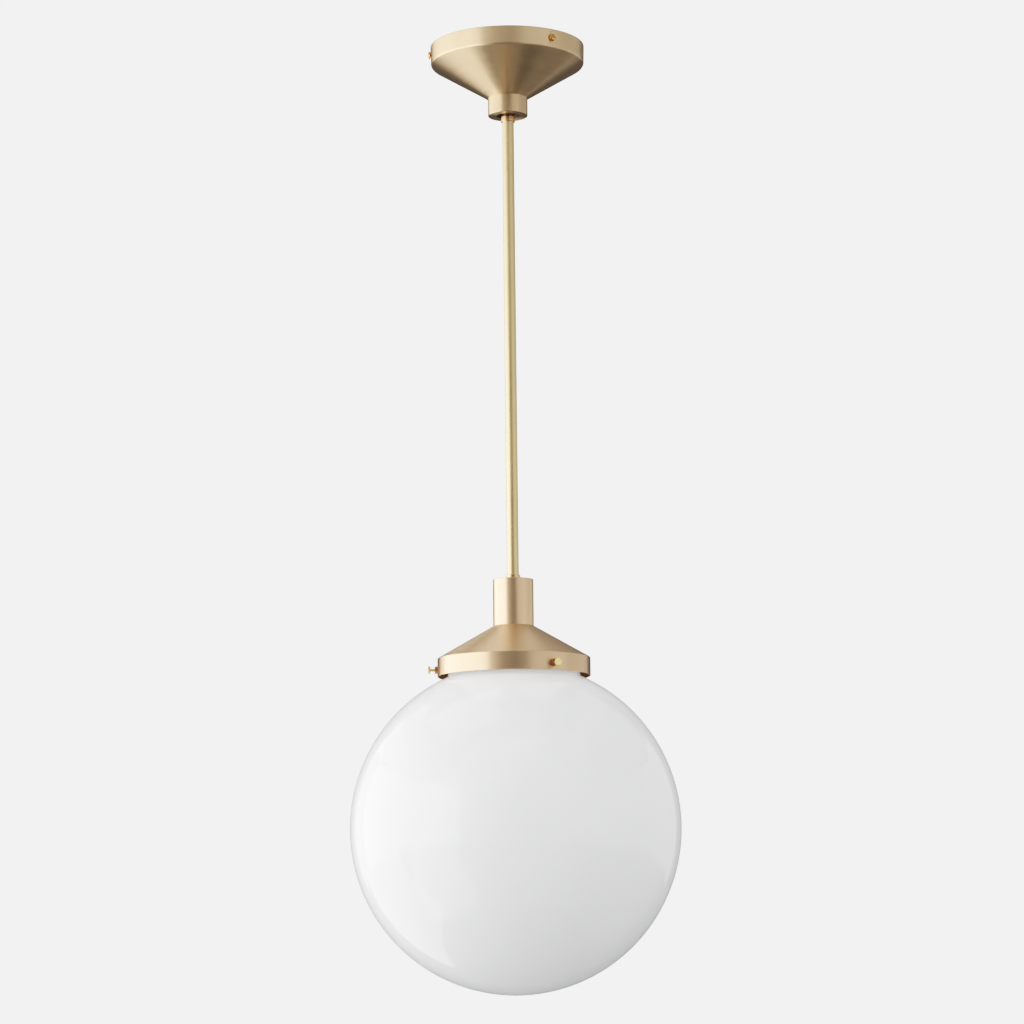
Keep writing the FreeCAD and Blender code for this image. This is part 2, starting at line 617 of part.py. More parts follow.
def socket_bracket():
    """Steel cap of the socket: tapped hub for the nipple, two holes for its screws."""
    bracket = rod(bracket_radius, porcelain_top, bracket_top)
    bracket = bracket.fuse(rod(BRACKET_HUB_RADIUS, bracket_top, hub_top))
    bracket = bracket.cut(rod(NIPPLE_RADIUS + FIT, porcelain_top - PAST, hub_top + PAST))
    hole_radius = BRACKET_SCREW_RADIUS + HOLE_ROOM
    for x, y in bracket_screw_places():
        bracket = bracket.cut(rod(hole_radius, porcelain_top - PAST, bracket_top + PAST, x, y))
    return bracket.removeSplitter()


def socket_bracket_screw(x, y):
    shank = rod(BRACKET_SCREW_RADIUS, bracket_top - BRACKET_SCREW_LENGTH, bracket_top, x, y)
    head = rod(BRACKET_HEAD_RADIUS, bracket_top, bracket_top + BRACKET_HEAD_HEIGHT, x, y)
    slot = Part.makeBox(
        2 * BRACKET_HEAD_RADIUS, SLOT_WIDTH / 2, BRACKET_HEAD_HEIGHT,
        V(x - BRACKET_HEAD_RADIUS, y - SLOT_WIDTH / 4, bracket_top + BRACKET_HEAD_HEIGHT / 2))
    return shank.fuse(head).cut(slot).removeSplitter()


def socket_body():
    """Glazed porcelain body: wiring well and channels on top, screw well below."""
    body = rod(porcelain_radius, porcelain_foot, porcelain_top)
    body = round_circles(body, PORCELAIN_EDGE, (porcelain_radius, porcelain_foot))
    body = body.cut(rod(shell_seat, porcelain_foot - PAST, screw_well_top))
    well_foot = porcelain_top - WIRING_WELL_DEPTH
    body = body.cut(rod(WIRING_WELL_RADIUS, well_foot, porcelain_top + PAST))
    for bearing in SUPPLY_BEARINGS:
        flat = Part.makeBox(
            porcelain_radius, 2 * porcelain_radius, TERMINAL_FLAT_HEIGHT + PAST,
            V(terminal_flat, -porcelain_radius, porcelain_top - TERMINAL_FLAT_HEIGHT))
        body = body.cut(place(flat, bearing))
        body = body.cut(place(wiring_channel(porcelain_radius + PAST), bearing))
        hole = along_x(
            TERMINAL_SHANK_RADIUS + FIT, terminal_flat - TERMINAL_HOLE_LENGTH, porcelain_radius)
        body = body.cut(place(hole, bearing, height=porcelain_top - TERMINAL_DROP))
    ground_channel = wiring_channel(bracket_screw_offset - BRACKET_SCREW_RADIUS)
    body = body.cut(place(ground_channel, GROUND_LEAD_BEARING))
    screw_end = bracket_top - BRACKET_SCREW_LENGTH - FIT
    for x, y in bracket_screw_places():
        body = body.cut(rod(BRACKET_SCREW_RADIUS + FIT, screw_end, porcelain_top + PAST, x, y))
    return body


def wiring_channel(length):
    """Cutter for a lead's way across the porcelain's top, along +X from the axis."""
    well_foot = porcelain_top - WIRING_WELL_DEPTH
    return Part.makeBox(
        length, CHANNEL_WIDTH, WIRING_WELL_DEPTH + PAST, V(0, -CHANNEL_WIDTH / 2, well_foot))


def socket_terminal_screw(bearing):
    """Flat-headed screw on the porcelain's flat, ready to clamp a lead."""
    head = along_x(TERMINAL_HEAD_RADIUS, terminal_flat, terminal_flat + TERMINAL_HEAD_HEIGHT)
    shank = along_x(TERMINAL_SHANK_RADIUS, terminal_flat - TERMINAL_SHANK_LENGTH, terminal_flat)
    screw = head.fuse(shank).removeSplitter()
    return place(screw, bearing, height=porcelain_top - TERMINAL_DROP)


def socket_screw_shell():
    return tube(shell_radius, shell_radius + SHELL_WALL, porcelain_foot + SHELL_SETBACK, screw_well_top)


def socket_centre_contact():
    """Sprung contact on the floor of the screw well, domed towards the bulb."""
    plate_foot = screw_well_top - CONTACT_PLATE
    dome_radius = (CONTACT_RADIUS ** 2 + CONTACT_DOME ** 2) / (2 * CONTACT_DOME)
    dome = Part.makeSphere(dome_radius, V(0, 0, plate_foot - CONTACT_DOME + dome_radius))
    return rod(CONTACT_RADIUS, plate_foot - CONTACT_DOME, screw_well_top).common(dome)


# ---------------------------------------------------------------- bulb
def bulb_button():
    """Contact at the tip of the base, coned at its edge."""
    foot = bulb_tip - BULB_BUTTON_HEIGHT
    return turned((0, bulb_tip), (BULB_BUTTON_TIP, bulb_tip), (BULB_BUTTON_RADIUS, foot), (0, foot))


def bulb_insulator():
    """Black glass between the button and the screw shell."""
    top = bulb_tip - BULB_BUTTON_HEIGHT
    shoulder = BASE_RADIUS - BULB_INSULATOR_STEP
    return turned((0, top), (BULB_BUTTON_RADIUS, top), (shoulder, base_shell_top), (0, base_shell_top))


def bulb_base():
    """Threaded metal cap, open below round the glass."""
    bore = BASE_RADIUS - BASE_WALL
    cap = rod(BASE_RADIUS, base_shell_foot, base_shell_top)
    return cap.cut(rod(bore, base_shell_foot - PAST, base_shell_top - BASE_WALL))


def bulb_solid(inset):
    """Pear-shaped envelope: ball, hollow waist arc tangent to it, neck and a plug in the cap."""
    ball = BULB_RADIUS - inset
    waist = BULB_WAIST_RADIUS + inset
    neck = BASE_RADIUS + BULB_NECK_STEP - inset
    plug = BASE_RADIUS - BASE_WALL - FIT - inset
    ball_z = bulb_foot + BULB_RADIUS
    waist_r = neck + waist
    waist_rise = math.sqrt((ball + waist) ** 2 - waist_r ** 2)
    waist_z = ball_z + waist_rise
    tangent = math.atan2(waist_rise, waist_r)
    neck_top = base_shell_foot - BULB_COLLAR_GAP - inset
    plug_top = base_shell_top - BASE_SHELL_LENGTH / 2 + inset

    def on_ball(angle):
        return (ball * math.cos(angle), ball_z + ball * math.sin(angle))

    def on_waist(angle):
        return (waist_r - waist * math.cos(angle), waist_z - waist * math.sin(angle))

    return turned(
        (0, ball_z - ball), (on_ball(-math.pi / 4), on_ball(0)),
        (on_ball(tangent / 2), on_ball(tangent)), (on_waist(tangent / 2), on_waist(0)),
        (neck, neck_top), (plug, neck_top), (plug, plug_top), (0, plug_top))


def bulb_glass():
    return bulb_solid(0).cut(bulb_solid(BULB_WALL))


def bulb_stem():
    """Glass stem press that carries the filament's posts."""
    flare_foot = stem_press_top - STEM_PRESS_FLARE
    seal = BASE_RADIUS - BASE_WALL - BULB_WALL - 2 * FIT
    flare = Part.makeCone(STEM_PRESS_RADIUS, seal, STEM_PRESS_FLARE, V(0, 0, flare_foot), UP)
    return flare.fuse(rod(STEM_PRESS_RADIUS, stem_press_foot, stem_press_top)).removeSplitter()


def bulb_filament():
    """Two posts and a straight coiled bar between them."""
    bar_height = stem_press_foot - FILAMENT_SPAN
    filament = along_x(FILAMENT_RADIUS, -FILAMENT_SPAN / 2, FILAMENT_SPAN / 2)
    filament.translate(V(0, 0, bar_height))
    for side in (-1, 1):
        start = V(side * STEM_PRESS_RADIUS / 2, 0, stem_press_foot - POST_RADIUS)
        reach = V(side * FILAMENT_SPAN / 2, 0, bar_height) - start
        filament = filament.fuse(Part.makeCylinder(POST_RADIUS, reach.Length, start, reach))
    return filament.removeSplitter()


# ---------------------------------------------------------------- leads
def lead(bearing, end_offset, terminal_height=None):
    """Insulated lead from its connector down through the stem and out to its terminal."""
    turn_height = lower_nipple_foot - LEAD_STAND
    start = (LEAD_SPLAY, 0, connector_mouth + CONNECTOR_BORE_DEPTH - LEAD_END_ROOM)
    corners = [
        (LEAD_SPLAY, 0, connector_mouth - LEAD_STRAIGHT, LEAD_TOP_REACH),
        (lead_offset, 0, ball_top + LEAD_RISE, LEAD_TOP_REACH),
        (lead_offset, 0, turn_height, LEAD_FOOT_REACH)]
    end = (end_offset, 0, turn_height)
    if terminal_height is not None:
        corners.append((end_offset, 0, turn_height, LEAD_END_REACH))
        end = (end_offset, 0, terminal_height)
    return place(lead_tube(start, corners, end, LEAD_RADIUS), bearing)


def supply_lead(bearing):
    """Lead that ends on one of the two terminal screws."""
    terminal_top = porcelain_top - TERMINAL_DROP + TERMINAL_HEAD_RADIUS
    return lead(bearing, terminal_flat + LEAD_RADIUS + 2 * FIT, terminal_top + RUNNING_GAP)


def ground_lead():
    """Lead that ends against the bracket's screw."""
    return lead(GROUND_LEAD_BEARING, bracket_screw_offset - BRACKET_SCREW_RADIUS - RUNNING_GAP)


def wire_connector(bearing):
    """Twist-on connector, mouth down, over the end of a lead."""
    body = Part.makeCone(
        CONNECTOR_RADIUS, CONNECTOR_TIP_RADIUS, CONNECTOR_HEIGHT, V(0, 0, connector_mouth), UP)
    bore_end = connector_mouth + CONNECTOR_BORE_DEPTH
    body = body.cut(rod(CONNECTOR_BORE, connector_mouth - PAST, bore_end))
    return place(body, bearing, LEAD_SPLAY)


# ---------------------------------------------------------------- build
def build():
    os.makedirs("parts", exist_ok=True)
    save("mounting_plate", mounting_plate())
    save("plate_ground_screw", plate_ground_screw())
    save("canopy_shell", canopy_shell())
    save("canopy_collar", canopy_collar())
    save("collar_lock_ring", collar_lock_ring())
    for number, bearing in enumerate(CANOPY_SCREW_BEARINGS, 1):
        save("canopy_screw_" + str(number), canopy_screw(bearing))

    save("swivel_seat_ring", swivel_seat_ring())
    save("swivel_ball", swivel_ball())
    save("upper_nipple", nipple(upper_nipple_foot, upper_nipple_top))
    save("stem_sleeve_top", sleeve(top_sleeve_foot, top_sleeve_top))
    save("stem_tube", stem_tube())
    save("stem_sleeve_bottom", sleeve(cup_top, bottom_sleeve_top))
    save("lower_nipple", nipple(lower_nipple_foot, cup_top + NIPPLE_IN_STEM))

    save("socket_cup", socket_cup())
    save("globe_holder", globe_holder())
    save("thumb_screw_bosses", *[thumb_screw_boss(bearing) for bearing in THUMB_BEARINGS])
    for number, bearing in enumerate(THUMB_BEARINGS, 1):
        save("thumb_screw_" + str(number), thumb_screw(bearing))
    save("globe", globe())

    save("cup_lock_washer", lock_washer())
    save("cup_lock_nut", lock_nut())
    save("socket_bracket", socket_bracket())
    save("socket_bracket_screws", *[socket_bracket_screw(x, y) for x, y in bracket_screw_places()])
    save("socket_body", socket_body())
    save("socket_terminal_screws", *[socket_terminal_screw(bearing) for bearing in SUPPLY_BEARINGS])
    save("socket_screw_shell", socket_screw_shell())
    save("socket_centre_contact", socket_centre_contact())

    save("bulb_button", bulb_button())
    save("bulb_insulator", bulb_insulator())
    save("bulb_base", bulb_base())
    save("bulb_glass", bulb_glass())
    save("bulb_stem", bulb_stem())
    save("bulb_filament", bulb_filament())

    save("live_lead", supply_lead(SUPPLY_BEARINGS[0]))
    save("neutral_lead", supply_lead(SUPPLY_BEARINGS[1]))
    save("ground_lead", ground_lead())
    bearings = SUPPLY_BEARINGS + (GROUND_LEAD_BEARING,)
    save("wire_connectors", *[wire_connector(bearing) for bearing in bearings])


build()
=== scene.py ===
# %% [markdown]
# # A brass pendant light with an opal globe
# This notebook gives a finished look to a pendant ceiling light whose sizes are already settled.
# The frame holds every part at its true place, in metres, with +Z up and the ceiling at Z = 0.
# Nearly every visible part of such a light is turned, spun or blown, so it is round about one axis.
# That is why most cells below draw half an outline and turn it, as a lathe does.

# %% Load the frame
import math

import bmesh
import bpy
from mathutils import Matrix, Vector


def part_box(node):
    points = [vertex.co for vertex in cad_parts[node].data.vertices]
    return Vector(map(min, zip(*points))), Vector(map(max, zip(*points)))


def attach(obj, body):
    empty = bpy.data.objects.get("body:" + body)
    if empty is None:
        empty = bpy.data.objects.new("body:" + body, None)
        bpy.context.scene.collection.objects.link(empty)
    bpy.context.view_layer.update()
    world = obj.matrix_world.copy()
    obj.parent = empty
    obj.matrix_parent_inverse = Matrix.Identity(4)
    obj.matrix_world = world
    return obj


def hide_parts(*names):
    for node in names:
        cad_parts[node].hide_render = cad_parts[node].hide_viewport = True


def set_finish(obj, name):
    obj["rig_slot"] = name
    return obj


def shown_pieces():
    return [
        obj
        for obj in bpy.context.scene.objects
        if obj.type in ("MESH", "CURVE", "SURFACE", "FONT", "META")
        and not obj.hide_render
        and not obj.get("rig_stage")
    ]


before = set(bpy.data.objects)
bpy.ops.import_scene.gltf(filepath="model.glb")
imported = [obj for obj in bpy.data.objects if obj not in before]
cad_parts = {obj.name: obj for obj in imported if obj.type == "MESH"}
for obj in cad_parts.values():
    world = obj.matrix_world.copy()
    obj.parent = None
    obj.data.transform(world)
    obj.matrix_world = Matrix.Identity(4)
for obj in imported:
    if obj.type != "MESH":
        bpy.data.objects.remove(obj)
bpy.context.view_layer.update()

# %% [markdown]
# A camera far away with a long lens keeps the light's proportions true, because near and far edges
# are then almost the same size. It stands at chest height and looks up a little, so the underside of
# the canopy shows. A small roll lets the stem lean by less than a degree, as a hand-set tripod does.

# %% Camera
MM = 0.001
SENSOR = 36 * MM
LENS = 113.84 * MM
CAMERA_PLACE = Vector((-0.0003, -3.4866, -1.0352))
CAMERA_PITCH = math.radians(8.377)
CAMERA_ROLL = math.radians(-0.64)

camera_data = bpy.data.cameras.new("camera")
camera_data.sensor_width = SENSOR / MM
camera_data.lens = LENS / MM
camera_data.clip_end = 50
camera = bpy.data.objects.new("camera", camera_data)
camera.location = CAMERA_PLACE
camera.rotation_mode = "ZYX"
camera.rotation_euler = (math.pi / 2 + CAMERA_PITCH, 0, CAMERA_ROLL)
bpy.context.scene.collection.objects.link(camera)
bpy.context.scene.camera = camera
print("field of view:", round(math.degrees(camera_data.angle), 2), "degrees")

# %% [markdown]
# The light hangs over a wide, plain, pale floor, about where a floor is under a ceiling 2.4 m high.
# Brass would show the floor in every downward face, and the floor would throw light up at the globe.
# So it is kept out of reflections and out of bounced light, as black cards do in a studio. Its paint
# is in the cell of the world, with the backdrop that it has to match.

# %% Floor
FLOOR_HEIGHT = -2.4
FLOOR_SIDE = 80.0


def select_nothing():
    """Operators act on all that is selected, and the frame's nodes come in selected."""
    if bpy.context.mode != "OBJECT":
        bpy.ops.object.mode_set(mode="OBJECT")
    bpy.ops.object.select_all(action="DESELECT")


select_nothing()
bpy.ops.mesh.primitive_plane_add(size=FLOOR_SIDE, location=(0, 0, FLOOR_HEIGHT))
floor = bpy.context.object
floor.name = "floor"
floor.visible_glossy = False
floor.visible_diffuse = False
floor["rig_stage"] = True

# %% [markdown]
# A lathe makes a part by holding one outline against a turning blank. In Blender the same outline is
# a chain of points in the X-Z plane: a plane merged to one point starts it, extrude adds the next
# point, a vertex bevel rounds a corner, and a spin about a centre draws an arc. One full spin about Z
# then makes the solid. Merging doubles closes the seam, and the normals are turned outwards after
# that, because a spin can leave a shape inside out.

# %% Helpers for turned parts
SAME_PLACE = 0.002 * MM
PICK_WITHIN = 0.008 * MM
TURN_STEPS = 192
SHELL_STEPS = 256
SMOOTH_UNDER = math.radians(35)


def pick_vertices(test):
    """Selects the vertices of the piece being edited whose place passes the test."""
    bpy.ops.mesh.select_mode(type="VERT")
    bpy.ops.mesh.select_all(action="DESELECT")
    shape = bmesh.from_edit_mesh(bpy.context.object.data)
    for vertex in shape.verts:
        vertex.select = test(vertex.co)
    shape.select_flush_mode()
    bmesh.update_edit_mesh(bpy.context.object.data)


def pick_faces(test):
    """Selects the faces whose middle and normal pass the test."""
    bpy.ops.mesh.select_mode(type="FACE")
    bpy.ops.mesh.select_all(action="DESELECT")
    shape = bmesh.from_edit_mesh(bpy.context.object.data)
    for face in shape.faces:
        face.select = test(face.calc_center_median(), face.normal)
    shape.select_flush_mode()
    bmesh.update_edit_mesh(bpy.context.object.data)


def near(radius, height):
    """A test for the outline's point at this place."""
    place = Vector((radius, 0, height))
    return lambda point: (point - place).length < PICK_WITHIN


def start_outline(name, radius, height):
    select_nothing()
    bpy.ops.mesh.primitive_plane_add(size=MM)
    bpy.context.object.name = name
    bpy.context.object.data.name = name
    bpy.ops.object.mode_set(mode="EDIT")
    bpy.ops.mesh.select_mode(type="VERT")
    bpy.ops.mesh.select_all(action="SELECT")
    bpy.ops.mesh.merge(type="CENTER")
    bpy.ops.transform.translate(value=(radius, 0, height))
    return [(radius, height)]


def line_to(outline, *points):
    """Extrudes the outline's last point to each of these places in turn."""
    for radius, height in points:
        last_radius, last_height = outline[-1]
        pick_vertices(near(last_radius, last_height))
        step = (radius - last_radius, 0, height - last_height)
        bpy.ops.mesh.extrude_region_move(TRANSFORM_OT_translate={"value": step})
        outline.append((radius, height))


def arc_to(outline, centre_radius, centre_height, angle, steps):
    """Spins the outline's last point about a centre in the X-Z plane; the angle turns X to Z."""
    radius, height = outline[-1]
    pick_vertices(near(radius, height))
    bpy.ops.mesh.spin(
        steps=steps, angle=angle, center=(centre_radius, 0, centre_height), axis=(0, 1, 0))
    across, up = radius - centre_radius, height - centre_height
    outline.append((
        centre_radius + across * math.cos(angle) - up * math.sin(angle),
        centre_height + across * math.sin(angle) + up * math.cos(angle)))


def round_points(reach, steps, *points):
    """Rounds corners of the outline; the arc starts this far from the corner."""
    for radius, height in points:
        pick_vertices(near(radius, height))
        bpy.ops.mesh.bevel(offset=reach, offset_type="OFFSET", segments=steps, affect="VERTICES")


def close_outline(outline):
    first, last = near(*outline[0]), near(*outline[-1])
    pick_vertices(lambda point: first(point) or last(point))
    bpy.ops.mesh.edge_face_add()


def tidy_shape():
    """Closes seams and poles, and turns every face outwards."""
    bpy.ops.mesh.select_all(action="SELECT")
    bpy.ops.mesh.remove_doubles(threshold=SAME_PLACE)
    bpy.ops.mesh.normals_make_consistent(inside=False)


def smooth_piece(piece):
    """Shades round faces smooth and keeps broad faces true up to their rounded edges."""
    select_nothing()
    piece.select_set(True)
    bpy.context.view_layer.objects.active = piece
    bpy.ops.object.shade_smooth_by_angle(angle=SMOOTH_UNDER)
    even = piece.modifiers.new("even_normals", "WEIGHTED_NORMAL")
    even.keep_sharp = True
    bpy.ops.object.modifier_apply(modifier=even.name)


def turn_outline(steps=TURN_STEPS, smooth=True):
    """Turns the outline once about Z and leaves a finished piece."""
    bpy.ops.mesh.select_all(action="SELECT")
    bpy.ops.mesh.spin(
        steps=steps, angle=2 * math.pi, center=(0, 0, 0), axis=(0, 0, 1), use_auto_merge=True)
    tidy_shape()
    bpy.ops.object.mode_set(mode="OBJECT")
    piece = bpy.context.object
    if smooth:
        smooth_piece(piece)
    print(piece.name, len(piece.data.polygons), "faces")
    return piece


# %% [markdown]
# The canopy covers the ceiling box. A flat disc is spun over a wooden former, which leaves an upright
# band, a softly rounded corner and a straight cone in one even sheet. So the outline is the section
# of the sheet: the outside down, then the inside back up. The corner gets a larger round outside than
# inside, because the sheet keeps its thickness as it bends.

# %% Canopy
SHEET = 1.2 * MM
canopy_top = 0.0
canopy_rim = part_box("canopy_shell")[1].x
canopy_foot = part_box("canopy_shell")[0].z
collar_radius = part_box("canopy_collar")[1].x
BAND_HEIGHT = 20 * MM
BAND_DRAFT = 0.5 * MM
RIM_ROUND = 0.3 * MM
CORNER_REACH = 0.62 * MM
OUTER_REACH = 2.5 * CORNER_REACH
COLLAR_HOLE = 19.95 * MM

band_foot_radius = canopy_rim - BAND_DRAFT
canopy_slope = (-BAND_HEIGHT - canopy_foot) / (band_foot_radius - collar_radius)
sheet_drop = SHEET * math.sqrt(1 + canopy_slope ** 2)
inside_radius = band_foot_radius - SHEET


def canopy_inside(radius):
    """Height of the inner face of the cone at this radius."""
    return canopy_foot + (radius - collar_radius) * canopy_slope + sheet_drop


floor_edge = collar_radius + (canopy_foot + SHEET - canopy_inside(collar_radius)) / canopy_slope
SCREW_STRIP = 4 * MM
screw_height = (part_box("canopy_screw_1")[0].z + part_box("canopy_screw_1")[1].z) / 2


def band_radius(height):
    """The band draws in a little towards its foot."""
    return canopy_rim + BAND_DRAFT * height / BAND_HEIGHT


strip_top, strip_foot = screw_height + SCREW_STRIP, screw_height - SCREW_STRIP
canopy_outline = start_outline("canopy", canopy_rim, canopy_top)
line_to(
    canopy_outline,
    (band_radius(strip_top), strip_top), (band_radius(strip_foot), strip_foot),
    (band_foot_radius, -BAND_HEIGHT), (collar_radius, canopy_foot), (COLLAR_HOLE, canopy_foot),
    (COLLAR_HOLE, canopy_foot + SHEET), (floor_edge, canopy_foot + SHEET),
    (inside_radius, canopy_inside(inside_radius)),
    (band_radius(strip_foot) - SHEET, strip_foot), (band_radius(strip_top) - SHEET, strip_top),
    (canopy_rim - SHEET, canopy_top))
close_outline(canopy_outline)
round_points(OUTER_REACH, 10, (band_foot_radius, -BAND_HEIGHT))
round_points(CORNER_REACH, 6, (inside_radius, canopy_inside(inside_radius)))
round_points(RIM_ROUND, 3, (canopy_rim, canopy_top), (canopy_rim - SHEET, canopy_top))
canopy = turn_outline(steps=SHELL_STEPS, smooth=False)

# %% [markdown]
# Three screws pass through the band. Their holes are drilled with a boolean: a drill is a cylinder
# that stands through the wall, and the modifier takes its shape away. Each drill is thrown away
# afterwards.

# %% Drill the canopy's side holes
DRILL_SIDES = 32
DRILL_REACH = 6 * MM


def bearing_of(node):
    """The direction about Z in which a part lies, from the middle of its box."""
    low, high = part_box(node)
    middle = (low + high) / 2
    return math.atan2(middle.y, middle.x)


def apply_modifier(piece, modifier):
    select_nothing()
    piece.select_set(True)
    bpy.context.view_layer.objects.active = piece
    bpy.ops.object.modifier_apply(modifier=modifier.name)


def drill(piece, radius, distance, bearing, height):
    """Takes a round hole that points at the axis out of a piece."""
    select_nothing()
    place = (distance * math.cos(bearing), distance * math.sin(bearing), height)
    bpy.ops.mesh.primitive_cylinder_add(
        vertices=DRILL_SIDES, radius=radius, depth=2 * DRILL_REACH, location=place,
        rotation=(0, math.pi / 2, bearing))
    bit = bpy.context.object
    hole = piece.modifiers.new("hole", "BOOLEAN")
    hole.operation = "DIFFERENCE"
    hole.object = bit
    apply_modifier(piece, hole)
    bpy.data.objects.remove(bit)


CANOPY_HOLE = 2.3 * MM
canopy_screws = [name for name in sorted(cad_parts) if name.startswith("canopy_screw_")]
for screw in canopy_screws:
    drill(canopy, CANOPY_HOLE, canopy_rim, bearing_of(screw), screw_height)
smooth_piece(canopy)
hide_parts("canopy_shell")
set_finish(canopy, "brass_satin")
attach(canopy, "ceiling_mount")
print("canopy has", len(canopy.data.vertices), "points after", len(canopy_screws), "holes")

# %% [markdown]
# The collar is a short turned cup under the cone. Its floor carries the swivel and is turned flat
# across, and a fine bright edge shows where it meets the wall. The hole is flared below, so that the
# neck can tip in it. A hair-thin chamfer at the top makes the joint with the cone read as two parts.

# %% Collar
collar_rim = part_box("canopy_collar")[0].z
spigot_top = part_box("canopy_collar")[1].z
COLLAR_FLOOR = 3.4 * MM
COLLAR_EDGE = 0.8 * MM
collar_seat = collar_rim + COLLAR_FLOOR
NECK_HOLE = 12.4 * MM
HOLE_FLARE = 0.7 * MM
COLLAR_BORE = 18.2 * MM
SPIGOT_RADIUS = 19.9 * MM
JOINT_CHAMFER = 0.25 * MM

collar_outline = start_outline("collar", COLLAR_BORE, spigot_top)
line_to(
    collar_outline, (SPIGOT_RADIUS, spigot_top), (SPIGOT_RADIUS, canopy_foot),
    (collar_radius, canopy_foot), (collar_radius, collar_rim), (NECK_HOLE, collar_rim),
    (NECK_HOLE, collar_seat), (COLLAR_BORE, collar_seat))
close_outline(collar_outline)
round_points(JOINT_CHAMFER, 2, (collar_radius, canopy_foot))
round_points(COLLAR_EDGE, 6, (collar_radius, collar_rim))
round_points(HOLE_FLARE, 4, (NECK_HOLE, collar_rim))
collar = turn_outline()
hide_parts("canopy_collar")
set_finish(collar, "brass_satin")
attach(collar, "ceiling_mount")

# %% [markdown]
# The stem is one drawn tube with a turned sleeve at each end. The sleeves hide the threads of the
# nipples, and their rounded edges catch a thin line of light. The lower one stands a little taller
# than in the frame, so that its edge shows over the rim of the cup.

# %% Stem and sleeves
STEM_STEPS = 96


def tube_piece(node, name, bore, edge, body, finish, taller=0.0):
    """A straight tube in the place of one of the frame's nodes, with rounded ends."""
    low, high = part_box(node)
    radius = high.x
    top = high.z + taller
    outline = start_outline(name, bore, top)
    line_to(outline, (radius, top), (radius, low.z), (bore, low.z))
    close_outline(outline)
    round_points(edge, 4, (radius, top), (radius, low.z))
    piece = turn_outline(steps=STEM_STEPS)
    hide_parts(node)
    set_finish(piece, finish)
    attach(piece, body)


stem_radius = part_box("stem_tube")[1].x
STEM_WALL = 1.15 * MM
STEM_FIT = 0.05 * MM
STEM_EDGE = 0.15 * MM
SLEEVE_EDGE = 0.4 * MM
SLEEVE_SHOWS = 2.2 * MM
tube_piece(
    "stem_tube", "stem", stem_radius - STEM_WALL, STEM_EDGE, "pendant", "stem_brass")
tube_piece(
    "stem_sleeve_top", "top_sleeve", stem_radius + STEM_FIT, SLEEVE_EDGE, "pendant", "sleeve_brass")
tube_piece(
    "stem_sleeve_bottom", "bottom_sleeve", stem_radius + STEM_FIT, SLEEVE_EDGE, "pendant",
    "sleeve_brass", taller=SLEEVE_SHOWS)

# %% [markdown]
# The socket cup is turned from bar, so its top edge is crisp, with only the tool's light break. It
# stands on the holder's shoulder, and a small chamfer at its foot shows the joint.

# %% Socket cup
cup_low, cup_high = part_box("socket_cup")
CUP_BORE = 20.4 * MM
CUP_ROOF = 2.5 * MM
CUP_EDGE = 0.55 * MM
NIPPLE_HOLE = 5.25 * MM
cup_radius = cup_high.x
cup_outline = start_outline("cup", NIPPLE_HOLE, cup_high.z)
line_to(
    cup_outline, (cup_radius, cup_high.z), (cup_radius, cup_low.z), (CUP_BORE, cup_low.z),
    (CUP_BORE, cup_high.z - CUP_ROOF), (NIPPLE_HOLE, cup_high.z - CUP_ROOF))
close_outline(cup_outline)
round_points(CUP_EDGE, 5, (cup_radius, cup_high.z))
round_points(JOINT_CHAMFER, 2, (cup_radius, cup_low.z))
cup = turn_outline()
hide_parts("socket_cup")
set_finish(cup, "brass_satin")
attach(cup, "pendant")

# %% [markdown]
# The globe holder is spun like the canopy, but the other way up: a cone, a tight corner and a band.
# Its threaded spigot stands up into the cup. The three holes in its band take the bosses of the
# thumb screws, so they are drilled in the same way as the canopy's.

# %% Globe holder
holder_low, holder_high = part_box("globe_holder")
holder_radius = holder_high.x
HOLDER_CONE = 35.1 * MM
HOLDER_SHOULDER = 1.5 * MM
SPIGOT_FIT = 0.05 * MM
HOLDER_CORNER = 0.7 * MM
holder_corner = cup_low.z - HOLDER_CONE
holder_slope = HOLDER_CONE / (holder_radius - cup_radius)
holder_drop = SHEET * math.sqrt(1 + holder_slope ** 2)
holder_spigot = CUP_BORE - SPIGOT_FIT
holder_bore = holder_radius - SHEET
inner_corner = holder_corner + SHEET * holder_slope - holder_drop
shoulder_foot = cup_low.z - HOLDER_SHOULDER
shoulder_edge = holder_radius - (shoulder_foot + holder_drop - holder_corner) / holder_slope
thumb_height = (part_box("thumb_screw_1")[0].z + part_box("thumb_screw_1")[1].z) / 2
THUMB_STRIP = 4.6 * MM
thumb_top, thumb_foot = thumb_height + THUMB_STRIP, thumb_height - THUMB_STRIP

holder_outline = start_outline("holder", holder_spigot - HOLDER_SHOULDER, holder_high.z)
line_to(
    holder_outline, (holder_spigot, holder_high.z), (holder_spigot, cup_low.z),
    (cup_radius, cup_low.z), (holder_radius, holder_corner), (holder_radius, thumb_top),
    (holder_radius, thumb_foot), (holder_radius, holder_low.z), (holder_bore, holder_low.z),
    (holder_bore, thumb_foot), (holder_bore, thumb_top), (holder_bore, inner_corner),
    (shoulder_edge, shoulder_foot), (holder_spigot - HOLDER_SHOULDER, shoulder_foot))
close_outline(holder_outline)
round_points(HOLDER_CORNER, 6, (holder_radius, holder_corner))
round_points(RIM_ROUND, 3, (holder_radius, holder_low.z), (holder_bore, holder_low.z))
holder = turn_outline(steps=SHELL_STEPS, smooth=False)
BOSS_HOLE = 2.85 * MM
thumb_screws = [
    name for name in sorted(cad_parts)
    if name.startswith("thumb_screw_") and name != "thumb_screw_bosses"]
for screw in thumb_screws:
    drill(holder, BOSS_HOLE, holder_radius, bearing_of(screw), thumb_height)
smooth_piece(holder)
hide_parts("globe_holder")
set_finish(holder, "brass_satin")
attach(holder, "pendant")

